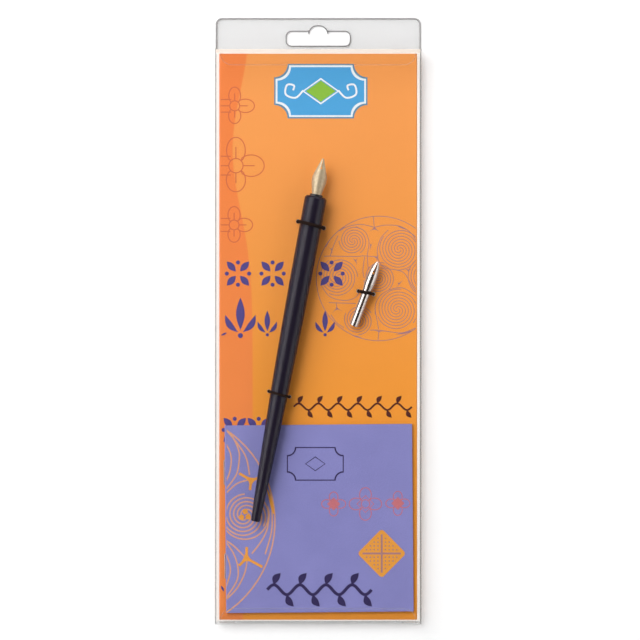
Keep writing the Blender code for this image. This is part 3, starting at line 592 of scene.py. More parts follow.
def cord_tube(route, cord, low, high):
    """An endless cord along a route, swollen from low to high, where it fills its punched hole.
    Its UV map counts cords along it and turns round it."""
    curve = bpy.data.curves.new("cord", "CURVE")
    curve.dimensions = "3D"
    curve.bevel_depth = cord / 2
    curve.bevel_resolution = CORD_SEGMENTS // 4 - 1
    spline = curve.splines.new("POLY")
    spline.points.add(len(route) - 1)
    for point, (x, z) in zip(spline.points, route):
        point.co = (x, 0, z, 1)
        if low <= z <= high:
            point.radius = 1 + HOLE_BULGE / (cord / 2)
    spline.use_cyclic_u = True
    obj = bpy.data.objects.new("cord", curve)
    bpy.context.scene.collection.objects.link(obj)
    pick(obj)
    bpy.ops.object.convert(target="MESH")
    obj = bpy.context.object
    mesh = obj.data
    sides = len(mesh.vertices) // len(route)
    run = [0.0]
    for here, there in zip(route, route[1:] + route[:1]):
        run.append(run[-1] + math.dist(here, there))
    layer = mesh.uv_layers[0]
    for face in mesh.polygons:
        rings = [index // sides for index in face.vertices]
        strips = [index % sides for index in face.vertices]
        for corner, ring, strip in zip(face.loop_indices, rings, strips):
            if ring == 0 and max(rings) > 1:
                ring = len(route)
            if strip == 0 and max(strips) > 1:
                strip = sides
            layer.data[corner].uv = (run[ring] / cord, strip / sides)
    return obj


def make_loop(node, end, lean, radius, loop):
    """An elastic loop: up through the card, over the pen or nib, down again and tied behind the card.
    end, lean and radius are of the piece that it holds."""
    at, cord, turn, splay = loop
    arch = radius + GAP + cord / 2
    axis_z = end.z
    run = CARD_BACK - GAP - cord / 2
    foot, rise = arch + splay, axis_z - run
    leg_lean = math.acos(arch / math.hypot(foot, rise)) - math.atan(rise / foot)
    shoulder = arch / math.tan(math.radians(45) + leg_lean / 2)
    card_middle = (CARD_BACK + CARD_FACE) / 2
    through = foot - (card_middle - run) * math.tan(leg_lean)
    low, high = CARD_BACK + HOLE_BULGE / 2, CARD_FACE - HOLE_BULGE / 2
    nipped = [(through + (card_middle - z) * math.tan(leg_lean), z, 0) for z in (low, high)]
    corners = [(-foot, run, cord / 2 + GAP), (foot, run, cord / 2 + GAP), *nipped]
    corners += [(shoulder, axis_z + arch, arch), (-shoulder, axis_z + arch, arch)]
    corners += [(-x, z, 0) for x, z, _ in reversed(nipped)]
    route = [tuple(point) for point in filleted(corners)]
    tube = cord_tube(route, cord, low, high)
    bpy.ops.object.select_all(action="DESELECT")
    thickness = KNOT_THICKNESS_SHARE * cord
    knot_z = CARD_BACK - GAP - thickness / 2
    bpy.ops.mesh.primitive_uv_sphere_add(
        segments=24,
        ring_count=14,
        radius=thickness / 2,
        location=(0, 0, knot_z),
        rotation=(0, math.radians(90), 0),
        scale=(1, 1, KNOT_LENGTH_SHARE / KNOT_THICKNESS_SHARE),
    )
    parts = [tube, bpy.context.object]
    length = TAIL_LENGTH_SHARE * cord
    for side in (-1, 1):
        level = Matrix.Rotation(side * TAIL_TURN, 4, "Z") @ Matrix.Rotation(math.radians(90), 4, "Y")
        ends = [(cord / 2, 0), (cord / 2, length - cord / 8), (3 * cord / 8, length)]
        tail = turned(ends, Matrix.Translation((0, 0, knot_z)) @ level, CORD_SEGMENTS)
        parts.append(tail)
    bpy.ops.object.select_all(action="DESELECT")
    for part in parts:
        part.select_set(True)
    bpy.context.view_layer.objects.active = tube
    bpy.ops.object.transform_apply(location=True, rotation=True, scale=True)
    bpy.ops.object.join()
    place = end.xy - Vector((math.sin(lean), math.cos(lean))) * at
    tube.data.transform(Matrix.Translation(place.to_3d()) @ Matrix.Rotation(turn - lean, 4, "Z"))
    bpy.ops.object.shade_smooth_by_angle(angle=math.radians(50))
    settle(tube, f"{node}_braided", ELASTIC, "pack", [node])


def smooth_copy(node, name, material):
    """A copy of a round construction piece, welded and shaded smooth, that takes its place."""
    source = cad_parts[node]
    copy = bpy.data.objects.new(name, source.data.copy())
    bpy.context.scene.collection.objects.link(copy)
    pick(copy)
    bpy.ops.object.mode_set(mode="EDIT")
    bpy.ops.mesh.select_all(action="SELECT")
    bpy.ops.mesh.remove_doubles(threshold=GAP / 100)
    bpy.ops.object.mode_set(mode="OBJECT")
    bpy.ops.object.shade_smooth_by_angle(angle=math.radians(50))
    settle(copy, name, material, "pack", [node])


def dress(nodes, material):
    """Gives construction pieces their finish."""
    for name in nodes:
        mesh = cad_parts[name].data
        mesh.materials.clear()
        mesh.materials.append(material)


def spline_mesh(name, routes, **settings):
    """Routes of (x, y) or (x, y, z) in millimetres as one curve with these settings, made a mesh."""
    curve = bpy.data.curves.new(name, "CURVE")
    for setting, value in settings.items():
        setattr(curve, setting, value)
    for route in routes:
        closed = route[0] == route[-1]
        points = route[:-1] if closed else route
        spline = curve.splines.new("POLY")
        spline.points.add(len(points) - 1)
        for point, place in zip(spline.points, points):
            point.co = (*(Vector(place) * MM).to_3d(), 1)
        spline.use_cyclic_u = closed
    obj = bpy.data.objects.new(name, curve)
    bpy.context.scene.collection.objects.link(obj)
    pick(obj)
    bpy.ops.object.convert(target="MESH")
    return bpy.context.object


def laid(obj, surface, layers=0):
    """Lays a print on its surface, over this many layers of ink."""
    height = surface + INK_LIFT + (layers + 0.5) * (INK + INK_LIFT)
    obj.data.transform(Matrix.Translation((0, 0, height)))
    return obj


def trim(obj, edge, side):
    """Cuts a print off at the edge of its sheet."""
    pick(obj)
    bpy.ops.object.mode_set(mode="EDIT")
    bpy.ops.mesh.select_all(action="SELECT")
    bpy.ops.mesh.bisect(
        plane_co=(edge, 0, 0), plane_no=(side, 0, 0), use_fill=True, clear_outer=True
    )
    bpy.ops.object.mode_set(mode="OBJECT")


def ribbon(name, routes, width, height):
    """A flat rounded ribbon along routes, its middle at height zero."""
    settings = {"dimensions": "3D", "bevel_depth": width / 2, "bevel_resolution": 0}
    obj = spline_mesh(name, routes, use_fill_caps=True, **settings)
    obj.data.transform(Matrix.Diagonal((1, 1, height / width, 1)))
    # Shaded smooth, its sides would turn the light like a round bar's
    obj.data.shade_flat()
    return obj


def print_lines(name, routes, width, surface, material, edge=None, layers=0):
    """Printed lines: ribbons of this width along routes. edge is (x, side), where the sheet ends."""
    obj = ribbon(name, routes, width, INK)
    if edge:
        trim(obj, *edge)
    return settle(laid(obj, surface, layers), name, material, "pack")


def print_shapes(name, outlines, surface, material, layers=0):
    """Printed areas, each filled to its outline."""
    obj = spline_mesh(name, outlines, dimensions="2D", fill_mode="BOTH", extrude=INK / 2)
    return settle(laid(obj, surface, layers), name, material, "pack")


def arc(centre, radius, start=0, end=360):
    """Points round a circle or a part of it, in millimetres and degrees."""
    x, y = centre
    count = max(8, round(abs(end - start) / 5))
    angles = [math.radians(start + (end - start) * i / count) for i in range(count + 1)]
    points = [(x + radius * math.cos(angle), y + radius * math.sin(angle)) for angle in angles]
    if abs(end - start) == 360:
        points[-1] = points[0]
    return points


def curved(points, steps=8):
    """A smooth route through points."""
    ends = [points[0], *points, points[-1]]
    route = []
    for a, b, c, d in zip(ends, ends[1:], ends[2:], ends[3:]):
        for step in range(steps):
            t = step / steps
            weights = (
                (-t + 2 * t**2 - t**3) / 2,
                (2 - 5 * t**2 + 3 * t**3) / 2,
                (t + 4 * t**2 - 3 * t**3) / 2,
                (t**3 - t**2) / 2,
            )
            route.append(
                tuple(sum(w * p[axis] for w, p in zip(weights, (a, b, c, d))) for axis in (0, 1))
            )
    return [*route, points[-1]]


def spiral(centre, radius, turns, start, arms=3):
    """The arms of a spiral roundel, each wound evenly from its rim to its middle."""
    x, y = centre
    routes = []
    for arm in range(arms):
        route = []
        count = round(44 * turns)
        for i in range(count + 1):
            share = i / count
            reach = radius * (1 - 0.94 * share)
            angle = math.radians(start + 360 * arm / arms) + 2 * math.pi * turns * share
            route.append((x + reach * math.cos(angle), y + reach * math.sin(angle)))
        routes.append(route)
    return routes


def knot(centre, tips, waist):
    """A three-pointed knot: its tips are given from its centre, and its sides draw in to the waist."""
    x, y = centre
    outline = []
    for (x0, y0), (x1, y1) in zip(tips, (*tips[1:], tips[0])):
        reach = math.hypot(x0 + x1, y0 + y1)
        middle = ((x0 + x1) / reach * waist, (y0 + y1) / reach * waist)
        side = curved([(x0, y0), middle, (x1, y1)], 6)
        outline += [(x + i, y + j) for i, j in side[:-1]]
    return [*outline, outline[0]]


def petal(centre, root, reach, half_width, heading):
    """The outline of a petal that opens out of a round heart of radius root."""
    x, y = centre
    turn = math.radians(heading)
    length = 0.62 * (reach - root)
    middle = reach - length
    points = [(0.7 * root, -0.7 * root)]
    for step in range(-14, 15):
        angle = math.radians(9.5 * step)
        points.append((middle + length * math.cos(angle), half_width * math.sin(angle)))
    points.append((0.7 * root, 0.7 * root))
    return [
        (
            x + along * math.cos(turn) - across * math.sin(turn),
            y + along * math.sin(turn) + across * math.cos(turn),
        )
        for along, across in points
    ]


def flower(centre, root, petals, left_half):
    """A four-petalled flower. petals is (reach, half width) for up, right and down, and the left petal
    runs off the card between two straight lines."""
    x, y = centre
    routes = [arc(centre, root)]
    for (reach, half_width), heading in zip(petals, (90, 0, -90)):
        turn = math.radians(heading)
        routes.append(petal(centre, root, reach, half_width, heading))
        ends = [root, root + 0.55 * (reach - root)]
        routes.append([(x + end * math.cos(turn), y + end * math.sin(turn)) for end in ends])
    for offset in (-left_half, 0, left_half):
        near = math.sqrt(max(root**2 - offset**2, 0)) + 0.55 * abs(offset)
        routes.append([(x - near, y + offset), (CARD_EDGE / -MM, y + offset)])
    return routes


def wave(start, end, height, period, lift):
    """A running wave from start to end, lift millimetres above zero."""
    count = round((end - start) / period * 24)
    route = []
    for i in range(count + 1):
        x = start + (end - start) * i / count
        route.append((x, lift + height * math.sin(2 * math.pi * (x - start) / period)))
    return route


def leaflet(foot, tip, width, bow=0.0):
    """The outline of a pointed leaf. bow is how far its middle swings to the left."""
    length = math.dist(foot, tip)
    along = ((tip[0] - foot[0]) / length, (tip[1] - foot[1]) / length)
    outline = []
    for way in (1, -1):
        for i in range(10):
            share = i / 10 if way == 1 else 1 - i / 10
            left = way * width / 2 * math.sin(math.pi * share) + bow * 4 * share * (1 - share)
            outline.append(
                (
                    foot[0] + along[0] * length * share - along[1] * left,
                    foot[1] + along[1] * length * share + along[0] * left,
                )
            )
    return [*outline, outline[0]]


def lozenge(centre, half_width, half_height):
    """The outline of a lozenge, from its left corner over the top."""
    x, y = centre
    left, right = (x - half_width, y), (x + half_width, y)
    return [left, (x, y + half_height), right, (x, y - half_height), left]


def rosette(centre, reach):
    """Four pointed leaves and four dots round an open middle."""
    x, y = centre
    outlines = []
    for i, j in QUARTERS:
        foot = (x + 0.14 * reach * i, y + 0.14 * reach * j)
        tip = (x + 0.72 * reach * i, y + 0.78 * reach * j)
        outlines.append(leaflet(foot, tip, 0.42 * reach))
    for i, j in ((1, 0), (0, 1), (-1, 0), (0, -1)):
        outlines.append(arc((x + 0.72 * reach * i, y + 0.72 * reach * j), 0.13 * reach))
    return outlines


def sprig(foot, height):
    """An upright leaf between two that bow outwards, over a dot."""
    x, y = foot
    outlines = [leaflet((x, y + 0.10 * height), (x, y + height), 0.24 * height)]
    for side in (1, -1):
        start = (x + side * 0.07 * height, y + 0.04 * height)
        tip = (x + side * 0.42 * height, y + 0.52 * height)
        outlines.append(leaflet(start, tip, 0.17 * height, -side * 0.07 * height))
    return [*outlines, arc((x, y - 0.06 * height), 0.07 * height)]


def vine(start, end, swing, period, lift, leaf_length):
    """A waving stem and the leaves that it bears, one at each crest and one at each trough."""
    stem = wave(start, end, swing, period, lift)
    leaves = []
    for i in range(round(2 * (end - start) / period)):
        x = start + (i + 0.5) * period / 2
        side = 1 if i % 2 == 0 else -1
        foot = (x, lift + side * swing)
        tip = (foot[0] + 0.5 * leaf_length, foot[1] + side * 0.85 * leaf_length)
        leaves.append(leaflet(foot, tip, 0.5 * leaf_length, side * 0.12 * leaf_length))
    return stem, leaves


def print_card():
    """What is printed on the card: a spiral roundel, flowers, leaf ornaments and a vine.
    Places are in millimetres across and up the pack."""
    edge = (CARD_EDGE, 1)
    cut_off_spiral = (54.4, 21.4)
    roundel = [
        arc((29.7, 20.4), 30.6),
        curved([(3.7, 35.9), (6.7, 40.6), (11.4, 44.6), (18.5, 46.8), (23.4, 46.6), (27.6, 45.5)]),
        curved([(27.6, 45.5), (33.2, 46.6), (40.3, 46.0), (45.8, 42.5), (48.8, 37.6)]),
        curved([(18.5, 45.9), (23.0, 43.4), (24.9, 38.6), (24.5, 34.3), (24.2, 31.5), (24.6, 24.4)]),
        curved([(3.0, 31.2), (5.9, 31.4), (18.5, 31.2), (22.3, 31.5), (29.1, 31.0)]),
        curved([(9.7, 41.4), (8.0, 37.6), (6.7, 34.0), (6.0, 31.4)]),
        curved(
            [(29.1, 31.0), (30.5, 27.7), (33.2, 25.5), (38.7, 24.5), (42.5, 22.8), (45.8, 17.4), (48.8, 13)]
        ),
        curved([(29.1, 31.0), (29.2, 35.4), (30.9, 40.4), (34.4, 44.2)]),
        curved([(5.2, 8.6), (9.2, 8.4), (18.5, 8.1)]),
        curved([(1.6, 16.8), (5.9, 11.4), (13.0, 9.6), (18.5, 11.2), (20.6, 15.0)]),
        curved([(28.0, 2.6), (28.3, 8.1), (31.0, 12.4), (36.5, 15.3), (41.9, 15.6), (48.0, 12.0)]),
        curved([(27.8, 5.9), (28.8, 0.4), (29.7, -4.5)]),
        curved([(6.2, 2.6), (9.0, -1.2), (12.6, -3.8)]),
        curved([(25.6, -5.0), (29.9, -5.0), (35.4, -5.8), (41.6, -6.2), (48.6, -3.6)]),
        curved([(22.8, 31.0), (22.0, 24.4), (22.6, 20.6)]),
        arc(cut_off_spiral, 10.2, 100, 260),
        arc(cut_off_spiral, 8.8, 110, 250),
        arc(cut_off_spiral, 7.4, 120, 240),
        [(27.1, 50.7), (27.5, 46.0)],
        [(29.4, -9.9), (29.8, -6.0)],
        [(8.9, 8.6), (9.1, 6.4)],
    ]
    for centre, radius, turns, start in (
        ((17.1, 38.9), 6.9, 1.6, 60),
        ((40.0, 34.6), 10.2, 2.2, 20),
        ((38.9, 5.1), 10.2, 2.2, 80),
        ((10.0, 21.2), 9.4, 2.0, 0),
        ((19.8, -0.1), 7.2, 1.7, 30),
        ((29.9, 20.8), 7.6, 1.8, 70),
    ):
        roundel += spiral(centre, radius, turns, start)
    print_lines("card_roundel", roundel, 0.32 * MM, CARD_FACE, VIOLET_INK, edge)
    knots = [
        knot((27.6, 45.0), ((-0.2, 2.2), (-2.8, -1.6), (2.8, -1.6)), 0.5),
        knot((6.8, 34.6), ((1.2, 3.4), (-2.0, 1.4), (0.0, -2.2)), 0.5),
        knot((25.7, 36.6), ((-0.4, 3.6), (2.0, 2.4), (-0.2, -2.4)), 0.4),
        knot((18.4, 29.2), ((-1.6, 1.4), (1.2, 1.2), (0.8, -2.4)), 0.4),
        knot((28.8, 30.6), ((-1.6, 0.4), (1.2, 1.4), (0.2, -2.0)), 0.4),
        knot((44.3, 24.4), ((-1.6, 0.8), (1.6, 0.8), (0.1, -1.7)), 0.4),
        knot((39.8, 17.9), ((1.9, 1.8), (-1.4, 0.6), (-1.4, -1.8)), 0.4),
        knot((9.2, 5.6), ((-0.2, 2.4), (-2.6, -2.4), (3.4, -1.4)), 0.5),
        knot((29.8, -5.5), ((-3.6, 0.5), (4.4, -0.2), (-0.3, -2.8)), 0.5),
        leaflet((10.2, 43.5), (13.2, 46.1), 0.8),
        leaflet((38.0, 46.7), (43.8, 44.2), 0.7),
        leaflet((38.0, -7.0), (47.4, -4.8), 0.8, -0.4),
        leaflet((16.6, -7.5), (21.6, -8.9), 0.7),
    ]
    print_shapes("card_roundel_knots", knots, CARD_FACE, VIOLET_INK, 1)

    flowers = flower((-41.0, 105.2), 2.45, ((9.2, 2.9), (9.7, 3.3), (8.7, 3.0)), 3.1)
    flowers += flower((-40.4, 75.8), 3.5, ((13.9, 4.6), (13.9, 5.3), (12.8, 4.7)), 4.6)
    flowers += flower((-41.3, 46.7), 2.4, ((9.0, 3.0), (9.1, 3.3), (8.5, 3.0)), 3.2)
    print_lines("card_flowers", flowers, 0.5 * MM, CARD_FACE, RED_INK)

    ornaments = []
    for centre in ((-39.4, 22.8), (-22.4, 22.8), (6.6, 22.8), (-41.0, -54.0), (-29.2, -54.0)):
        ornaments += rosette(centre, 7.6)
    for x, height in ((-38.2, 17.6), (-25.0, 11.2), (3.4, 11.2)):
        ornaments += sprig((x, -6.6), height)
    ornaments.append(leaflet((-47.8, -7.6), (-44.8, -6.2), 0.9))
    ornaments.append(leaflet((-47.8, -130.4), (-46.2, -133.4), 1.0))
    print_shapes("card_leaf_ornaments", ornaments, CARD_FACE, BLUE_INK, 2)

    stem, leaves = vine(-12.0, 46.0, 1.6, 9.67, -42.6, 4.4)
    print_lines("card_vine_stem", [stem], 0.9 * MM, CARD_FACE, BROWN_INK, layers=2)
    print_shapes("card_vine_leaves", leaves, CARD_FACE, BROWN_INK, 3)


def plaque(half_width, half_height, corner, centre):
    """The outline of a plate with hollow corners, each an arc round a corner of the full plate."""
    x, y = centre
    route = []
    for (side_x, side_y), first in zip(QUARTERS, (270, 0, 90, 180)):
        middle = (x + side_x * half_width, y + side_y * half_height)
        route += arc(middle, corner, first, first - 90)
    return [*route, route[0]]


def print_plaque():
    """The plate at the head of the card: a blue field in a white line, with a lozenge and two scrolls."""
    centre, corner = (1.3, 112.4), 6.6
    layers = (
        ("rim", 22.9, 13.4, DEEP_BLUE_INK),
        ("border", 22.2, 12.7, WHITE_INK),
        ("field", 21.3, 11.8, SKY_INK),
    )
    for layer, (part, half_width, half_height, material) in enumerate(layers):
        outline = plaque(half_width, half_height, corner, centre)
        print_shapes(f"plaque_{part}", [outline], CARD_FACE, material, layer)
    print_shapes("plaque_lozenge", [lozenge(centre, 7.4, 5.2)], CARD_FACE, GREEN_INK, 3)
    x, y = centre
    scrolls = []
    for side in (-1, 1):
        sweep = [(8.6, 0.4), (12.4, -3.2), (17.2, -1.6), (16.6, 3.0), (13.2, 2.8), (13.6, 0.4)]
        scrolls.append(curved([(x + side * i, y + j) for i, j in sweep]))
    scrolls.append(lozenge(centre, 8.6, 6.1))
    print_lines("plaque_scrolls", scrolls, 0.9 * MM, CARD_FACE, WHITE_INK, layers=3)


def print_cover():
    """What is printed on the booklet's cover. Places are in millimetres across and up the pack."""
    edge = (COVER_LEFT, -1)
    heart = (-36.0, -96.0)
    roundel = [
        arc((-75.2, -98.8), 54.0, -58, 58),
        curved([(-45.5, -53.7), (-40.0, -60.1), (-35.4, -67.5), (-33.7, -76.1)]),
        curved(
            [(-45.5, -53.7), (-41.8, -57.7), (-38.9, -64.4), (-38.9, -70), (-40.3, -76.1), (-45.5, -83.5)]
        ),
        curved([(-45.5, -60.4), (-43.2, -65.0), (-42.7, -69.3), (-43.5, -74.9), (-45.5, -79.8)]),
        curved([(-45.5, -85.3), (-40.0, -80.4), (-34.4, -78.5)]),
        curved([(-45.5, -108.0), (-41.2, -111.1), (-36.0, -116.3)]),
        curved([(-45.5, -108.6), (-41.5, -114.7), (-39.4, -121.5), (-40.0, -128.2), (-45.5, -136.8)]),
        curved([(-45.5, -114.1), (-43.5, -119.7), (-43.3, -124.6), (-45.5, -131.9)]),
        curved([(-34.9, -118.4), (-36.2, -124.6), (-40.0, -131.9), (-45.5, -137.5)]),
        curved([(-32.6, -114.7), (-28.3, -109.2), (-25.2, -103.1), (-24.1, -95.7), (-24.9, -91.4)]),
        curved(
            [(-29.5, -70.3), (-25.5, -77.3), (-23.2, -85.9), (-22.6, -95.7), (-23.0, -104.3), (-26.0, -115)]
        ),
        arc(heart, 11.6, 150, 400),
    ]
    roundel += spiral(heart, 10.6, 1.75, 90)
    print_lines("cover_roundel", roundel, 0.7 * MM, COVER_FACE, PALE_AMBER_INK, edge)
    stars, wedges = [], []
    for centre, tips in (
        ((-32.9, -78.6), ((-6.2, 3.5), (4.0, 1.2), (-0.6, -5.2))),
        ((-35.1, -117.0), ((0.0, 5.9), (-4.0, -3.8), (8.2, -4.5))),
    ):
        wedges.append(knot(centre, tips, 1.5))
        stars += [[centre, (centre[0] + 0.94 * i, centre[1] + 0.94 * j)] for i, j in tips]
    print_lines("cover_roundel_stars", stars, 1.3 * MM, COVER_FACE, AMBER_INK, edge, 1)
    wedges.append(curved([(-25.4, -82.0), (-22.4, -89.0), (-21.6, -95.5), (-23.4, -91.4), (-25.4, -82.0)]))
    for i, j in ((0.2, 2.0), (1.6, -0.6), (-1.6, -0.8)):
        wedges.append(arc((heart[0] + i, heart[1] + j), 1.3))
    print_shapes("cover_roundel_knots", wedges, COVER_FACE, AMBER_INK, 2)

    knots, cores = [], []
    # The two outer knots are solid at their hearts
    for centre, half, solid in (
        ((7.6, -90.3), 5.9, True),
        ((23.2, -90.3), 8.0, False),
        ((39.1, -90.0), 5.9, True),
    ):
        for heading in (0, 90, 180, 270):
            knots.append(petal(centre, 0.3 * half, half, 0.36 * half, heading))
        inner = 0.52 * half
        knots.append(lozenge(centre, inner, inner))
        knots.append(arc(centre, 0.26 * half))
        if solid:
            cores.append(lozenge(centre, 0.9 * inner, 0.9 * inner))
    print_lines("cover_small_knots", knots, 0.42 * MM, COVER_FACE, ROSE_INK)
    print_shapes("cover_small_knot_cores", cores, COVER_FACE, ROSE_INK, 1)

    x, y = 31.2, -114.6
    half_width, half_height, corner, arm, spacing = 12.0, 12.2, 1.6, 9.4, 1.85
    corners = [(x - half_width, y, corner), (x, y - half_height, corner)]
    corners += [(x + half_width, y, corner), (x, y + half_height, corner)]
    outline = [tuple(point) for point in filleted(corners)]
    print_shapes("cover_lozenge", [[*outline, outline[0]]], COVER_FACE, ORANGE_INK)
    lines = [[(x - arm, y), (x + arm, y)], [(x, y - arm), (x, y + arm)]]
    dots = []
    for i in range(1, 5):
        for j in range(1, 6 - i):
            for side_x, side_y in QUARTERS:
                dots.append(arc((x + side_x * spacing * i, y + side_y * spacing * j), 0.36))
    print_lines("cover_lozenge_cross", lines, 0.9 * MM, COVER_FACE, VIOLET_INK, layers=1)
    print_shapes("cover_lozenge_dots", dots, COVER_FACE, VIOLET_INK, 1)

    centre = (-1.4, -70.6)
    plate = plaque(13.7, 8.0, 4.0, centre)
    print_lines("cover_plate_line", [plate], 0.75 * MM, COVER_FACE, NIGHT_INK)
    print_lines("cover_plate_lozenge", [lozenge(centre, 4.8, 3.4)], 0.5 * MM, COVER_FACE, NIGHT_INK)
    stem, leaves = vine(-25.0, 26.2, 2.4, 12.8, -132.4, 6.8)
    print_lines("cover_vine_stem", [stem], 1.5 * MM, COVER_FACE, NIGHT_INK, layers=2)
    print_shapes("cover_vine_leaves", leaves, COVER_FACE, NIGHT_INK, 3)


def box_mm(node):
    """The lowest and the highest corner of a construction piece in millimetres, with Y and Z to the
    nearest tenth, as the edges are drawn."""
    corners = [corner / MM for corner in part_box(node)]
    for corner in corners:
        corner.y, corner.z = round(corner.y, 1), round(corner.z, 1)
    return corners


def make_cut(name, routes, material, body="pack"):
    """The cut or scored edge of the sheet as a thread of its thickness along routes in millimetres."""
    settings = {"dimensions": "3D", "bevel_depth": CUT_WIDTH / 2, "bevel_resolution": 1}
    obj = spline_mesh(name, routes, use_fill_caps=True, **settings)
    settle(obj, name, material, body)


def make_end_edges(end, outward):
    """The edges at one end of the box: the corners of the sleeve, and the lid and flaps in their rest
    pose. outward is 1 at the top and -1 at the bottom. Places are in millimetres."""
    gauge = SHEET / MM
    corner_inset, rim_inset, thread_inset, tongue_inset = 0.2, 0.16, 0.17, 2.0
    tongue_reach, tongue_corner, flap_corner = 7.7, 5.8, 1.4
    low, high = box_mm("box_sleeve")
    half = high.x - corner_inset
    rim = (high.y if outward > 0 else low.y) - outward * rim_inset
    corners = [[(x, rim, low.z + gauge), (x, rim, high.z - gauge)] for x in (-half, half)]
    make_cut(f"{end}_corner_cuts", corners, CUT_PET)

    low, high = box_mm(f"{end}_lid")
    wide, crease = high.x - thread_inset, high.z - thread_inset
    foot = low.z + gauge / 2
    depth = crease - foot + gauge
    narrow = wide - tongue_inset
    flat = [(-wide, foot, 0), (-wide, crease, 0), (-narrow, crease, 0)]
    flat.append((-narrow, crease + tongue_reach, tongue_corner))
    flat += [(-x, height, radius) for x, height, radius in reversed(flat)]
    route = []
    for x, height in filleted(flat, False):
        past = max(height - crease, 0)
        y = rim - outward * past * math.cos(TONGUE_LEAN)
        route.append((x, y, min(height, crease) - past * math.sin(TONGUE_LEAN)))
    make_cut(f"{end}_lid_cut_edge", [route], LID_CUT, f"{end}_lid")

    wall, flap_y = high.x - gauge / 2, rim - outward * 2 * gauge
    for side, hand in ((-1, "left"), (1, "right")):
        outline = [
            (side * (wall - reach * depth), foot + along * depth, flap_corner if reach else 0)
            for along, reach in FLAP_SHARES
        ]
        route = [(x, flap_y, z) for x, z in filleted(outline, False)]
        make_cut(f"{end}_flap_cut_edge_{hand}", [route], LID_CUT, f"{end}_dust_flap_{hand}")


def make_edges():
    """The frosted edges of the sheet: round the header and its slot, along the scored folds and at the
    glued side, whose line is darkened with painted shade. The pale band over the top fold is a painted
    highlight. The board's raw edge goes with them, partly laid past the card as painted light. Places are
    in millimetres."""
    gauge = SHEET / MM
    low, high = box_mm("box_sleeve")
    header_low, header_high = box_mm("hanger_panel")
    header_depth = header_high.z - header_low.z
    inset = EDGE_WIDTH / MM / 2
    side, top, fold = high.x - inset, header_high.y - inset, high.y
    header = [(-side, fold, 0), (-side, top, 3.0), (side, top, 3.0), (side, fold, 0)]
    # The slot: two wings with a dome over their middle
    slot_inset = inset / 2
    wing, dome = 16.0 - slot_inset, 4.9 - slot_inset
    foot = fold + 2.3 + slot_inset
    shoulder = foot + 7.7 - 2 * slot_inset
    crown = shoulder + 2.7
    wing_corner, dome_foot, dome_corner = 2.7, 0.3, 4.2
    half_slot = [(wing, foot, wing_corner), (wing, shoulder, wing_corner)]
    half_slot += [(dome, shoulder, dome_foot), (dome, crown, dome_corner)]
    rim = filleted([(-x, y, radius) for x, y, radius in half_slot] + half_slot[::-1])
    foot_end, front = low.y + 0.2, FRONT / MM - gauge / 2
    left, right = [(-side - 0.1, foot_end), (-side - 0.1, fold)], [(side, foot_end), (side, fold)]
    card_low, card_high = box_mm("backing_card")
    board, bite, reach = card_high.z - 0.1, RAW_END_WIDTH / MM / 2, RAW_SIDE_WIDTH / MM / 2
    # The board's raw edge, laid just past the card's ends and sides: partly the board's white core, partly
    # painted light over the shaded gap by the walls
    ends = [
        [(card_low.x + 0.05, y), (card_high.x - 0.05, y)]
        for y in (card_low.y - bite, card_high.y + bite)
    ]
    sides = [
        [(x, card_low.y - 2 * bite), (x, card_high.y + 2 * bite)]
        for x in (card_low.x - reach + 0.05, card_high.x + reach)
    ]
    over_card = [(-side, fold - 1.0), (side, fold - 1.0)]
    middle = header_depth / 2
    edges = (
        ("header_cut_edge", [filleted(header, False)], EDGE_WIDTH, header_depth, middle, CUT_PET),
        ("slot_cut_edge", [[*rim, rim[0]]], SLOT_EDGE_WIDTH, header_depth, middle, SLOT_PET),
        # Painted highlight: a pale band at the front, over the shaded strip between the card's top and the
        # lid
        ("top_front_fold_painted_highlight", [over_card], PALE_WIDTH, 0.04, front, PAINTED_HIGHLIGHT_FOLD),
        ("left_front_fold", [left], FOLD_WIDTH, 0.06, front, CUT_PET),
        # The right-hand fold is the glued seam, darkened with painted shade for the pack's shaded side
        ("glued_front_fold_painted_shade", [right], FOLD_WIDTH, 0.06, front, GLUED_SEAM_PAINTED_SHADE_PET),
        ("board_raw_ends_painted_light", ends, RAW_END_WIDTH, 0.06, board, RAW_BOARD),
        ("board_raw_sides_painted_light", sides, RAW_SIDE_WIDTH, 0.06, board, RAW_BOARD),
    )
    for name, routes, width, height, level, material in edges:
        obj = ribbon(name, routes, width, height * MM)
        obj.data.transform(Matrix.Translation((0, 0, level * MM)))
        settle(obj, name, material, "pack")
    x, z = high.x - 0.18, low.z + 0.18
    make_cut("back_folds", [[(i, foot_end, z), (i, fold, z)] for i in (-x, x)], CUT_PET)
    make_end_edges("top", 1)
    make_end_edges("bottom", -1)


def make_camera():
    """Straight down on the front, from as far off as the photograph's flat view needs."""
    camera = bpy.data.cameras.new("camera")
    camera.sensor_width = 36
    camera.lens = CAMERA_LENS
    obj = bpy.data.objects.new("camera", camera)
    obj.location = CAMERA_PLACE
    bpy.context.scene.collection.objects.link(obj)
    bpy.context.scene.camera = obj


def make_softbox(name, place, side, power):
    """A square softbox of this side, turned to the middle of the pack."""
    lamp = bpy.data.lights.new(name, "AREA")
    lamp.shape = "RECTANGLE"
    lamp.size = lamp.size_y = side
    lamp.energy = power
    obj = bpy.data.objects.new(name, lamp)
    obj.location = place
    obj.rotation_euler = Vector(place).to_track_quat("Z", "Y").to_euler()
    bpy.context.scene.collection.objects.link(obj)


def seen_rays(tree):
    """1 for the rays that the camera, a reflection or clear material sends out, 0 for the others."""
    camera_ray = add(tree, "LightPath", output="Is Camera Ray")
    glossy_ray = add(tree, "LightPath", output="Is Glossy Ray")
    clear_ray = add(tree, "LightPath", output="Is Transmission Ray")
    seen = add(tree, "Math", {0: camera_ray, 1: glossy_ray}, operation="MAXIMUM")
    return add(tree, "Math", {0: seen, 1: clear_ray}, operation="MAXIMUM")


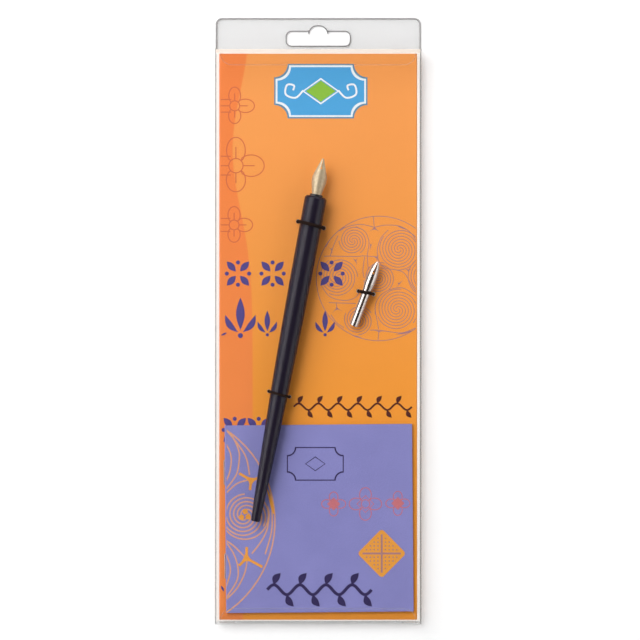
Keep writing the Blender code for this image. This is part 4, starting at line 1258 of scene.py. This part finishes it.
def make_world():
    """A plain pale room: white round the sides, dark overhead where the camera hangs. It shows at full
    strength in reflections and adds less to the lamps' light."""
    world = bpy.data.worlds.new("pale_room")
    bpy.context.scene.world = world
    world.use_nodes = True
    tree = world.node_tree
    tree.nodes.clear()
    direction = add(tree, "TexCoord", output="Generated")
    height = add(tree, "SeparateXYZ", {0: direction}, "Z")
    ceiling = {"From Min": 0.6, "From Max": 0.85, "To Min": 1.0, "To Max": 0.03}
    level = add(
        tree, "MapRange", {"Value": height, **ceiling}, interpolation_type="SMOOTHSTEP"
    )
    share = add(tree, "MapRange", {"Value": seen_rays(tree), "To Min": 0.62, "To Max": 1.0})
    strength = add(tree, "Math", {0: level, 1: share}, operation="MULTIPLY")
    sky = add(tree, "Background", {"Color": linear("FFFFFF"), "Strength": strength})
    add(tree, "OutputWorld", {"Surface": sky})


def make_floor():
    """A pale sweep. It shows white to the camera and in reflections, and keeps the pack's shadow."""
    made, tree = new_material("white_sweep")
    paint = add(tree, "BsdfDiffuse", {"Color": linear("EAEAEA")})
    # The sweep shows white far out too, where little of the lamps' light falls
    place = add(tree, "TexCoord", output="Object")
    distance = add(tree, "VectorMath", {0: place}, operation="LENGTH")
    far_out = {"From Min": 0.25, "From Max": 1.3, "To Min": 0.24, "To Max": 0.95}
    level = add(tree, "MapRange", {"Value": distance, **far_out})
    glow = add(tree, "Emission", {"Color": linear("FFFFFF"), "Strength": level})
    both = add(tree, "AddShader", {0: paint, 1: glow})
    mixed = add(tree, "MixShader", {0: seen_rays(tree), 1: paint, 2: both})
    add(tree, "OutputMaterial", {"Surface": mixed})
    bpy.ops.object.select_all(action="DESELECT")
    bpy.ops.mesh.primitive_plane_add(size=8, location=(0, 0, -0.0001))
    floor = bpy.context.object
    floor.name = "floor"
    floor.data.materials.append(made)


LACQUER = lacquered_wood()
ABS = moulded_abs()
GILT = plated_nib("pale_gilt_spring_steel", "CDBB9C", "A08F72", PEN_LEAN, 0.36, 0.52, (0.55, 0.6))
NICKEL = plated_nib("bright_nickel_spring_steel", "C9BFBA", "A69E99", SPARE_LEAN, 0.08, 0.20, (0.05, 0.5))
ELASTIC = braided_elastic()
VIOLET_INK = ink("violet_offset_ink", "AE8084", "A4767C")
BLUE_INK = ink("blue_violet_offset_ink", "54478C", "483C80")
RED_INK = ink("vermilion_offset_ink", "DC6C44", "D4643C")
BROWN_INK = ink("red_brown_offset_ink", "561A0E", "481206")
SKY_INK = ink("sky_blue_offset_ink", "4CA6DE", "46A0D8")
DEEP_BLUE_INK = ink("grey_blue_offset_ink", "5A8FB0", "5488A8")
WHITE_INK = ink("opaque_white_offset_ink", "F2F5F7", "E9EEF2")
GREEN_INK = ink("leaf_green_offset_ink", "8CC03A", "84B834")
AMBER_INK = ink("amber_offset_ink", "EFA040", "E69836")
PALE_AMBER_INK = ink("pale_amber_offset_ink", "E0A27C", "D69A76")
ORANGE_INK = ink("orange_offset_ink", "EBA03E", "E39636")
ROSE_INK = ink("rose_red_offset_ink", "CC7478", "C26C76")
NIGHT_INK = ink("night_violet_offset_ink", "2E2156", "251A49")
CUT_PET = cut_pet("die_cut_pet_edge", "B4B2B1", "BDBBBB", 0.7)
SLOT_PET = cut_pet("die_cut_pet_slot_edge", "8A8889", "959394", 0.9)
# Painted shade: the glued seam's line is darker than the other edges, standing for the shade down the
# pack's right side
GLUED_SEAM_PAINTED_SHADE_PET = cut_pet("glued_pet_seam_painted_shade", "96938F", "A09D99", 0.75)
# Painted highlight: a pale cream fold whose colour stands for light caught along the top of the box
PAINTED_HIGHLIGHT_FOLD = cut_pet("scored_pet_fold_painted_highlight", "FFF0E2", "FFF5EB", 0.6)
LID_CUT = cut_pet("die_cut_pet_lid_edge", "C4C2C2", "CDCBCB", 0.2)
RAW_BOARD = raw_board()
PET = clear_pet("clear_pet_sheet", "FFFFFF", "FAFBFB")
DOUBLED_PET = clear_pet("clear_pet_sheet_glued_double", "FCFCFC", "F0F0F0")

dress(["box_sleeve"], PET)
for box_end in ("top", "bottom"):
    flaps = [f"{box_end}_dust_flap_{hand}" for hand in ("left", "right")]
    dress([f"{box_end}_lid", *flaps], PET)
dress(["hanger_panel"], DOUBLED_PET)
dress(["backing_card"], printed_card())
dress(["booklet_cover"], cover_paper())
dress(["booklet_pages"], page_paper())
dress(["socket_prongs"], NICKEL)

make_holder()
make_socket()
pen_place, spare_place = lying(PEN_HEAD, PEN_LEAN), lying(SPARE_TIP, SPARE_LEAN)
make_nib(
    "gilt_nib", WRITING_LEAF, WRITING_VENT, NIB_STAND_OUT, pen_place, GILT, "writing_nib"
)
make_nib(
    "nickel_nib", SPARE_LEAF, SPARE_VENT, 0, spare_place, NICKEL, "spare_nib"
)
for node_name, loop_sizes in (("pen_loop_upper", UPPER_LOOP), ("pen_loop_lower", LOWER_LOOP)):
    make_loop(node_name, PEN_HEAD, PEN_LEAN, barrel_radius(loop_sizes[0]), loop_sizes)
make_loop("spare_nib_loop", SPARE_TIP, SPARE_LEAN, NIB_SHANK_RADIUS, NIB_LOOP)
STAPLE_WIRE = staple_wire()
for number in (1, 2):
    smooth_copy(f"booklet_staple_{number}", f"staple_{number}", STAPLE_WIRE)
print_card()
print_plaque()
print_cover()
make_edges()

make_camera()
make_world()
make_softbox("key_softbox", (-1.10, 0.35, 1.10), 1.4, 18.8)
make_softbox("top_softbox", (-0.45, 1.00, 1.25), 0.8, 10.8)
make_softbox("fill_softbox", (1.30, -0.10, 0.90), 1.0, 3.0)
make_floor()
bpy.context.scene.view_settings.view_transform = "Standard"
# A clear box puts many sheets in one line of sight
bpy.context.scene.cycles.transparent_max_bounces = 32
